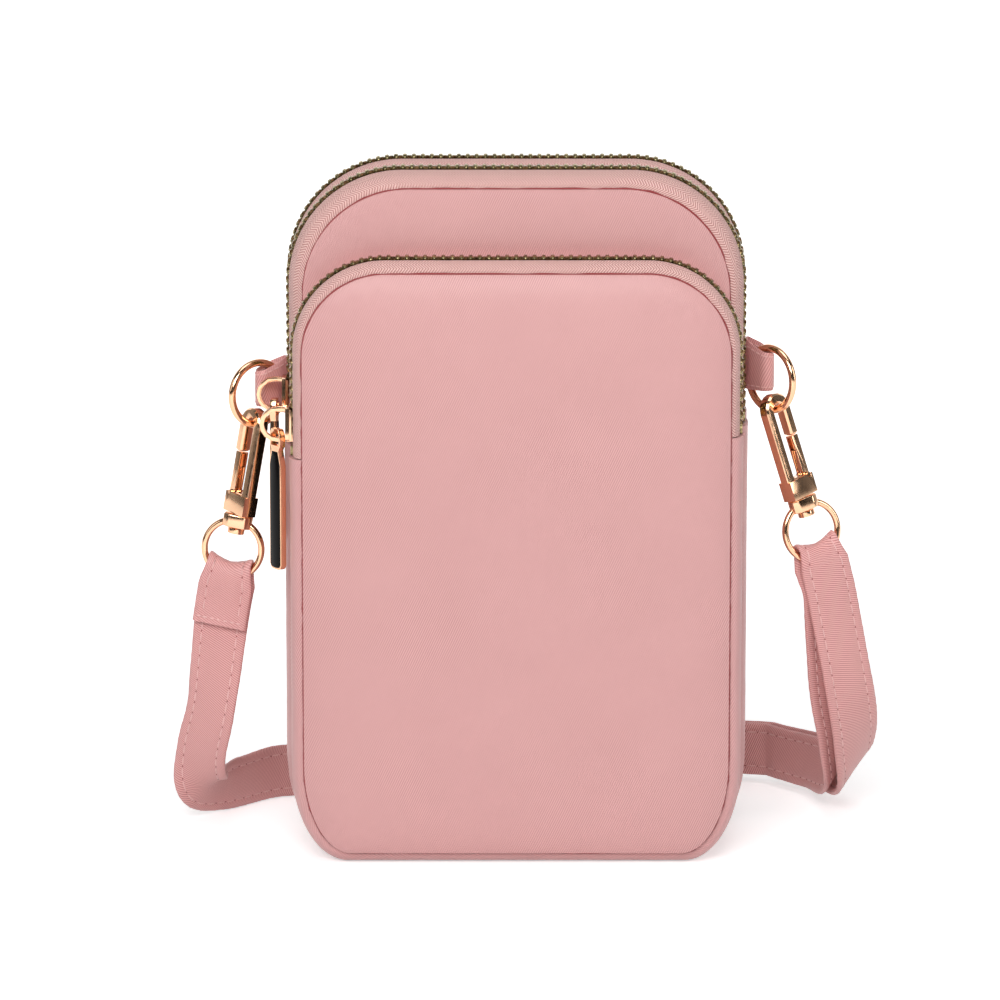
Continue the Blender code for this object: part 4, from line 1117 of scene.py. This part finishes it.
def softened(node, width):
    """A metal piece in its own shape, with its edges polished round."""
    shape = rounded(*node_shape(node), width)
    return piece(f"{node}_polished", shape, "gold", body_holding(node), [node], smooth=32)


def pull_faces(band):
    """Black enamel let into both faces of the blade, inside a gold rim."""
    turn = pull_frame(band)
    rim = PULL_HALF_WIDTH * ENAMEL_RIM_SHARE
    half = [(max(share * PULL_HALF_WIDTH - rim, rim), z) for share, z in pull_outline()]
    half[0] = (half[0][0], half[0][1] - rim)
    half[-1] = (half[-1][0] * 0.8, half[-1][1] + 1.3 * rim)
    half[-2] = (half[-2][0], half[-2][1] + rim)
    outline = [(-x, z) for x, z in half] + half[::-1]
    parts = []
    for side in (-1, 1):
        low, high = sorted(side * PULL_THICK * share for share in ENAMEL_DEPTH_SHARES)
        sections = [[turn @ Vector((x, y, z)) for y, z in outline] for x in (low, high)]
        parts.append(rounded(*skin(sections), rim / 5, 2))
    piece(f"{band.name}_pull_faces", gathered(parts), "enamel", f"{band.name}_pull")


def fine_eye(side):
    """The eye ring and the block that the hook's post turns in."""
    frame_here = eye_frame(side)
    half = EYE_BLOCK_HEIGHT / 2
    wide, deep = EYE_BLOCK_HALF_WIDTH, EYE_BLOCK_HALF_DEPTH
    outline = [(-wide, -deep / 2), (-wide * 0.6, -deep), (wide * 0.6, -deep), (wide, -deep / 2)]
    outline += [(-x, -y) for x, y in outline]
    block = [[frame_here @ Vector((x, y, EYE_RADIUS + z)) for x, y in outline] for z in (-half, half)]
    shape = gathered([torus(frame_here, EYE_RADIUS, EYE_WIRE), rounded(*skin(block), SOFT_EDGE)])
    piece(f"{side.name}_eye_ring", shape, "gold", "bag", [f"{side.name}_swivel_eye"])


def fine_ring(side):
    """The round ring in the tab."""
    out = outward(side)
    frame = side_frame(out, UP.cross(out), UP)
    frame.translation = ring_centre(side)
    name = f"{side.name}_ring"
    piece(name, torus(frame, RING_RADIUS, RING_WIRE), "gold", name, [f"{side.name}_tab_ring"])


def resample(stations, step):
    """Stations at even steps along the route, with their widths and turns carried between."""
    route = lengths([s.place for s in stations])
    last, total, tiny = len(stations) - 1, route[-1], step / 100
    count = int(total / step)
    made = []
    k = 0
    for i in range(count + 1):
        due = min(total * i / count, total)
        while k < last - 1 and route[k + 1] < due:
            k += 1
        before, after = max(k - 1, 0), min(k + 2, last)
        t = (due - route[k]) / max(route[k + 1] - route[k], tiny)
        a, b, c, d = (stations[n] for n in (before, k, k + 1, after))
        span = (c.place - b.place).length
        slope_in = (c.place - a.place) / max(route[k + 1] - route[before], tiny) * span
        slope_out = (d.place - b.place) / max(route[after] - route[k], tiny) * span
        h = ((1 + 2 * t) * (1 - t) ** 2, t * (1 - t) ** 2, t * t * (3 - 2 * t), t * t * (t - 1))
        place = b.place * h[0] + slope_in * h[1] + c.place * h[2] + slope_out * h[3]
        made.append(Station(place, *(p + (q - p) * t for p, q in zip(b[1:], c[1:]))))
    return made


def way_at(points, i):
    """The direction of a line of points at one of them."""
    return (points[min(i + 1, len(points) - 1)] - points[max(i - 1, 0)]).normalized()


def strip_axes(stations, i):
    """The ways across the strap's width and out of its face."""
    near = max(i - 1, 0)
    along = way_at([s.place for s in stations[near : i + 2]], i - near)
    level = stations[i].width_way
    wide = (level - along * level.dot(along)).normalized()
    return wide, along.cross(wide)


def strip_height(share):
    """Share of the strap's half thickness across it: round folds, and a dip along each stitch line."""
    edge = (1 - min(abs(share), 1) ** 10) ** 0.5
    dip = math.exp(-(((abs(share) - STITCH_SHARE) / DIP_SHARE) ** 2))
    return 0.12 + 0.88 * edge - 0.3 * dip


def strip_spot(station, axes, share, side, lift, sway=0):
    """A point at a share of the strap's half width on one face, lifted off that face's middle way."""
    wide, face = axes
    thick = STRAP_THICK / 2 * strip_height(share)
    spot = station.place + wide * (share * station.width / 2 + sway)
    return spot + face * (side * thick + lift) + station.cup_way * (station.cup * abs(share) ** CUP_POWER)


def fine_strap(stations):
    """Folded cloth, edge-stitched, with the small ripples that stitching leaves."""
    fine = resample(stations, STRAP_STEP)
    across = [-share for share in ACROSS_SHARES[:0:-1]] + list(ACROSS_SHARES)
    sections = []
    for i, station in enumerate(fine):
        axes = strip_axes(fine, i)
        run = i * STRAP_STEP
        section = []
        for side in (-1, 1):
            for share in across[::-side][:-1]:
                shift = 3 * waver((run, share * RIPPLE_SHIFT, side), RIPPLE_LENGTH)
                ripple = math.sin(run / PUCKER_LENGTH * math.tau * STRAP_RIPPLE_TIMES + shift)
                ripple *= PUCKER * STRAP_RIPPLE_SHARE * abs(share) ** 4
                sway = EDGE_SWAY * waver((run, 0, 7 if share > 0 else 9), EDGE_SWAY_LENGTH)
                sway = sway if abs(share) > EDGE_SHARE else 0
                section.append(strip_spot(station, axes, share, side, ripple, sway))
        sections.append(section)
    strip_piece("strap_cloth", sections, "strap", ["strap"])
    strap_stitches(fine)


def strap_stitches(fine):
    """Two rows of stitches on both faces, with a needle hole after each stitch, drawn as a small dark
    bump whose colour is painted shade of the hole.
    """
    stitches, holes = [], []
    pitch = STITCH_LENGTH + STITCH_GAP
    per = pitch / STRAP_STEP
    span = per * STITCH_LENGTH / pitch
    gap = per - span
    lifts = [STITCH_PROUD + lift for lift in arched(STITCH_SUNK_SHARE)]
    for row in ((share, side) for share in (-STITCH_SHARE, STITCH_SHARE) for side in (-1, 1)):
        for n in range(1, int((len(fine) - 3) / per)):
            start = n * per
            stitches.append(thread_on(fine, start, span, *row, lifts, STITCH_RADIUS))
            # Each needle hole is a small dark thread bump: painted shade of the hole.
            hole = (start + span + gap / 4, gap / 2, *row)
            holes.append(thread_on(fine, *hole, HOLE_LIFTS, STITCH_RADIUS * HOLE_TIMES))
    piece("strap_stitches", gathered(stitches), "thread")
    piece("strap_needle_holes", gathered(holes), "seam")


def strip_point(fine, at, share, side, lift):
    """A point over one face of the strap, between two stations."""
    i = min(int(at), len(fine) - 2)
    a, b = (strip_spot(fine[k], strip_axes(fine, k), share, side, side * lift) for k in (i, i + 1))
    return a + (b - a) * (at - int(at))


def arched(sunk):
    """How high a stitch's thread stands at each of its steps."""
    turn = [math.pi * k / THREAD_STEPS for k in range(THREAD_STEPS + 1)]
    return [STITCH_RADIUS * (math.sin(a) * STITCH_ARCH_SHARE - sunk) for a in turn]


def thread_on(fine, start, span, share, side, lifts, radius):
    """A thread along one face of the strap that stands as high as its lifts."""
    spots = []
    for k, lift in enumerate(lifts):
        at = start + span * k / (len(lifts) - 1)
        spots.append(strip_point(fine, at, share, side, lift))
    return rope(spots, radius)


def rope(spots, radius):
    """A round thread through the spots, thinner at its ends."""
    sections = []
    for i, p in enumerate(spots):
        along = way_at(spots, i)
        side = along.cross(Vector((0.3, 0.5, 0.81))).normalized()
        fat = radius * (0.55 if i in (0, len(spots) - 1) else 1)
        sections.append(circle(p, side, along.cross(side), fat, THREAD_SIDES))
    return skin(sections)


def cross_stitches(side):
    """The row of stitching that closes the strap round its eye ring."""
    frame = eye_frame(side)
    out = STRAP_THICK + FIT / 2
    foot = -EYE_RADIUS - EYE_WIRE - STRAP_THICK - STRAP_WIDTH * SEWN_ROW_SHARE
    span = STRAP_WIDTH * SEWN_SPAN_SHARE
    pitch = span / SEWN_STITCHES
    parts = []
    for layer in (-1, 1):
        for n in range(SEWN_STITCHES):
            spots = []
            for k, lift in enumerate(arched(SEWN_SUNK_SHARE)):
                x = -span / 2 + pitch * (n + SEWN_LENGTH_SHARE * k / THREAD_STEPS)
                spots.append(frame @ Vector((x, layer * (out + lift), foot)))
            parts.append(rope(spots, STITCH_RADIUS * SEWN_TIMES))
    piece(f"{side.name}_cross_stitches", gathered(parts), "thread")


def fallen(start, shares, back, height, layer=0):
    """Stations down a fall of the strap from a place that is left out, on one side of its two layers."""
    gap = layer * (STRAP_THICK + FIT) / 2
    bow = gap if layer > 0 else gap * FALL_BOW
    points, ways = [start.place], [start.width_way]
    for (x, y, z), way, parting, widen in shares:
        place = Vector((x * start.place.x, y * back, z * start.place.z if z else height))
        points.append(place + Vector((*parting, 0)) * (gap + (bow - gap) * widen))
        ways.append(Vector(way))
    line, turns = smooth_line(points, FALL_TIMES), ease(ways, FALL_TIMES)
    return [Station(p, w, STRAP_WIDTH, 0, UP) for p, w in zip(line[1:], turns[1:])]


def strap_stations():
    """The strap's whole route, the same as in the model."""
    left, right = SIDES
    near_share, far_share = 0.40, 0.75
    stations = strap_pocket(left, (near_share, far_share), (near_share, far_share))
    stations += fallen(stations[-1], LEFT_FALL_SHARES, HANK_BACK, FLOOR_HEIGHT)
    stations += plan_stations(hank(), FLOOR_HEIGHT)
    bend = HANK_RUNS * HANK_PITCH / 2
    last_y = HANK_BACK + (HANK_RUNS - 1) * HANK_PITCH
    stations += plan_stations([(-HANK_HALF_LENGTH + bend, last_y)], FLOOR_HEIGHT)
    stations += plan_stations(weave(), ADJUSTER_HEIGHT)
    outer = strap_pocket(right, (near_share,), (near_share,))
    right_end = (RIGHT_FALL_SHARES, ADJUSTER_BACK, ADJUSTER_HEIGHT)
    stations += fallen(outer[0], *right_end, 1)[::-1] + outer
    stations += fallen(outer[-1], *right_end, -1)
    stations += plan_stations(end_loop(), ADJUSTER_HEIGHT)
    return stations


def tab_line(base, out, across, fold):
    """The folded tab's middle line in plan: out from the bag, round the ring and back."""
    bend = RING_WIRE + FIT + TAB_LAYER / 2
    root = TAB_LAYER * TAB_ROOT_SHARE
    shares = [k / TAB_STEPS for k in range(TAB_STEPS + 1)]
    leg = [(fold * share, root + (bend - root) * min(1, share * TAB_OPENING)) for share in shares]
    plan = leg + arc((fold, 0), (bend, bend), 90, -90, TAB_TURN_STEPS)[1:-1]
    plan += [(along, -aside) for along, aside in reversed(leg)]
    return [base + out * along + across * aside for along, aside in plan]


def fine_tab(side):
    """A folded cloth loop, stitched along both edges, with its root at the bag."""
    out, root = outward(side), tab_root(side)
    across = Vector((-out.y, out.x, 0)) * side.sign
    start = Vector((side.sign * (REAR_SEAM.half_width + FIT), root.y, 0))
    slot = RING_WIRE + FIT
    base = Vector((root.x, root.y, 0))
    reach = (base + out * TAB_FOLD_LENGTH - start).dot(out)

    def tab_section(p, way, half_at):
        share = min(max((p - start).dot(out) / reach, 0), 1)
        low, high = (a + (b - a) * share for a, b in zip(side.root_shares, side.fold_shares))
        ring = []
        for layer in (-1, 1):
            for level in TAB_ROW_SHARES[::-layer]:
                q = p + way * layer * half_at(level)
                ring.append(Vector((q.x, q.y, BAG_HEIGHT * (low + (high - low) * level))))
        return ring

    def rolled(level):
        return TAB_LAYER / 2 * (1 - 0.75 * abs(2 * level - 1) ** 8)

    line = tab_line(base, out, across, TAB_FOLD_LENGTH - slot - TAB_LAYER)
    sections = []
    for i, p in enumerate(line):
        along = way_at(line, i)
        sections.append(tab_section(p, Vector((along.y, -along.x, 0)), rolled))
    strip_piece(f"{side.name}_tab_cloth", sections, "strap", [f"{side.name}_tab"])
    threads = []
    near, far, rows = 2, len(TAB_ROW_SHARES) - 3, len(TAB_ROW_SHARES)
    for a, b in zip(sections[::2], sections[2::2]):
        for n in (near, far, rows + near, rows + far):
            threads.append(rope([a[n].lerp(b[n], share) for share in TAB_STITCH_SHARES], STITCH_RADIUS))
    piece(f"{side.name}_tab_stitches", gathered(threads), "thread")
    ends = ((start, Y_WAY), (base + out * slot / 2, across))
    roots = [tab_section(p, way, lambda level: TAB_LAYER * 0.6) for p, way in ends]
    strip_piece(f"{side.name}_tab_root", roots, "strap")


def fine_leaf(side):
    """The leaf spring in its own shape, with its edges rolled a little; it rides on no body."""
    node = f"{side.name}_gate_spring"
    shape = rounded(*node_shape(node), SOFT_EDGE / 8, 1)
    leaf = piece(f"{side.name}_leaf", shape, "gold", None, [node], smooth=32)
    hook = hook_frame(side)
    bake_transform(leaf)


def dress_nodes():
    """Metal pieces whose shapes stay get their finish."""
    for name, obj in frame["nodes"].items():
        kind = "gold" if any(word in name for word in GOLD_WORDS) else None
        kind = "teeth" if "stop" in name else kind
        if kind:
            for slot in obj.material_slots:
                slot.material = LOOKS[kind]


def stage():
    """White paper that curves up behind the object."""
    bend = FLOOR_HALF / 3
    line = [(-FLOOR_HALF, 0.0)] + arc((FLOOR_HALF - bend, bend), (bend, bend), -90, 0, PAPER_STEPS)
    line.append((FLOOR_HALF, FLOOR_HALF))
    points, faces = [], []
    for y, z in line:
        points += [(-FLOOR_HALF, y, z), (FLOOR_HALF, y, z)]
    for i in range(len(line) - 1):
        faces.append((2 * i, 2 * i + 1, 2 * i + 3, 2 * i + 2))
    mesh = bpy.data.meshes.new("backdrop")
    mesh.from_pydata(points, [], faces)
    mesh.shade_smooth()
    mesh.materials.append(white_paper())
    obj = placed("backdrop", mesh)


def white_paper():
    """Paper that shows as white, more so away from the object, with the object's shadow kept."""
    made, tree, shader = look("white_paper", PAPER, 0.9)
    path = add(tree, "LightPath", {}).node.outputs
    seen = maths(tree, "MAXIMUM", path["Is Camera Ray"], path["Is Glossy Ray"])
    depth = add(tree, "SeparateXYZ", {0: add(tree, "NewGeometry", {}, "Position")}, "Y")
    far = spread(tree, depth, (GLOW_STARTS, GLOW_ENDS), (PAPER_GLOW, PAPER_FAR_GLOW))
    glow = add(tree, "Emission", {"Color": (*WHITE, 1), "Strength": far})
    lit = shader.outputs["BSDF"]
    both = add(tree, "AddShader", {0: lit, 1: glow})
    shown = add(tree, "MixShader", {0: seen, 1: lit, 2: both})
    feed(tree, tree.nodes["Material Output"], {"Surface": shown})
    return made


def area(name, place, sizes, watts):
    """A rectangular light that faces the middle of the object."""
    data = bpy.data.lights.new(name, "AREA")
    data.shape = "RECTANGLE"
    data.size, data.size_y = sizes
    data.energy = watts
    obj = placed(name, data)
    obj.location = place
    towards = Vector((0, 0, AIM_HEIGHT)) - Vector(place)
    obj.rotation_euler = towards.to_track_quat("-Z", "Y").to_euler()


def room():
    """A dim room that is lighter behind the object and white to the camera."""
    world = bpy.data.worlds.new("studio")
    bpy.context.scene.world = world
    world.use_nodes = True
    tree = world.node_tree
    depth = add(tree, "SeparateXYZ", {0: add(tree, "TexCoord", {}, "Generated")}, "Y")
    level = maths(tree, "MULTIPLY_ADD", depth, 0.5, 0.5)
    back = tree.nodes["Background"]
    feed(tree, back, {"Color": tint(tree, level, (0.42, 0.9), (DIM, WHITE)), "Strength": ROOM_STRENGTH})
    white = add(tree, "Background", {"Color": (*WHITE, 1), "Strength": 1})
    seen = add(tree, "LightPath", {}, "Is Camera Ray")
    shown = add(tree, "MixShader", {0: seen, 1: back.outputs["Background"], 2: white})
    feed(tree, tree.nodes["World Output"], {"Surface": shown})
    bpy.context.scene.view_settings.view_transform = "Standard"


def camera():
    data = bpy.data.cameras.new("camera")
    data.lens = LENS
    data.sensor_width = SENSOR
    data.clip_end = CLIP_END
    obj = placed("camera", data)
    obj.location = (CAMERA_SIDE, -CAMERA_DISTANCE, AIM_HEIGHT + AIM_SLOPE * CAMERA_DISTANCE)
    obj.rotation_euler = (math.pi / 2 - math.atan(AIM_SLOPE), 0, 0)
    bpy.context.scene.camera = obj


def bag():
    """The cloth body with its seams and its three zips."""
    fine_panel("front_panel", FRONT_SEAM, FRONT_FACE, PANEL_CROWN, -1)
    fine_panel("middle_panel", MIDDLE_SEAM, POCKET_BACK, MIDDLE_CROWN, -1)
    fine_panel("rear_partition", REAR_SEAM, REAR_PARTITION, PARTITION_CROWN, -1)
    fine_panel("back_panel", BACK_SEAM, BACK_PANEL, PANEL_CROWN, 1)
    seam_line("front_seam", FRONT_SEAM, FRONT_FACE + WALL)
    seam_line("middle_seam", MIDDLE_SEAM, POCKET_BACK + WALL)
    seam_line("back_seam", BACK_SEAM, BACK_PANEL)
    for band in bands():
        fine_gusset(band)
        fine_tapes(band)
        fine_teeth(band)
        pull_faces(band)
        softened(f"{band.name}_zip_pull", SOFT_EDGE / 2)
        softened(f"{band.name}_zip_slider", SOFT_EDGE / 2)


def carrier():
    """Tabs, rings, hooks and the strap."""
    for side in SIDES:
        fine_eye(side)
        softened(f"{side.name}_hook_body", SOFT_EDGE)
        softened(f"{side.name}_gate", SOFT_EDGE / 2)
        fine_leaf(side)
        fine_tab(side)
        fine_ring(side)
        if side.sign < 0:
            cross_stitches(side)
    fine_strap(strap_stations())


def main():
    camera()
    dress_nodes()
    bag()
    carrier()
    stage()
    for light in LIGHTS:
        area(*light)
    room()


main()
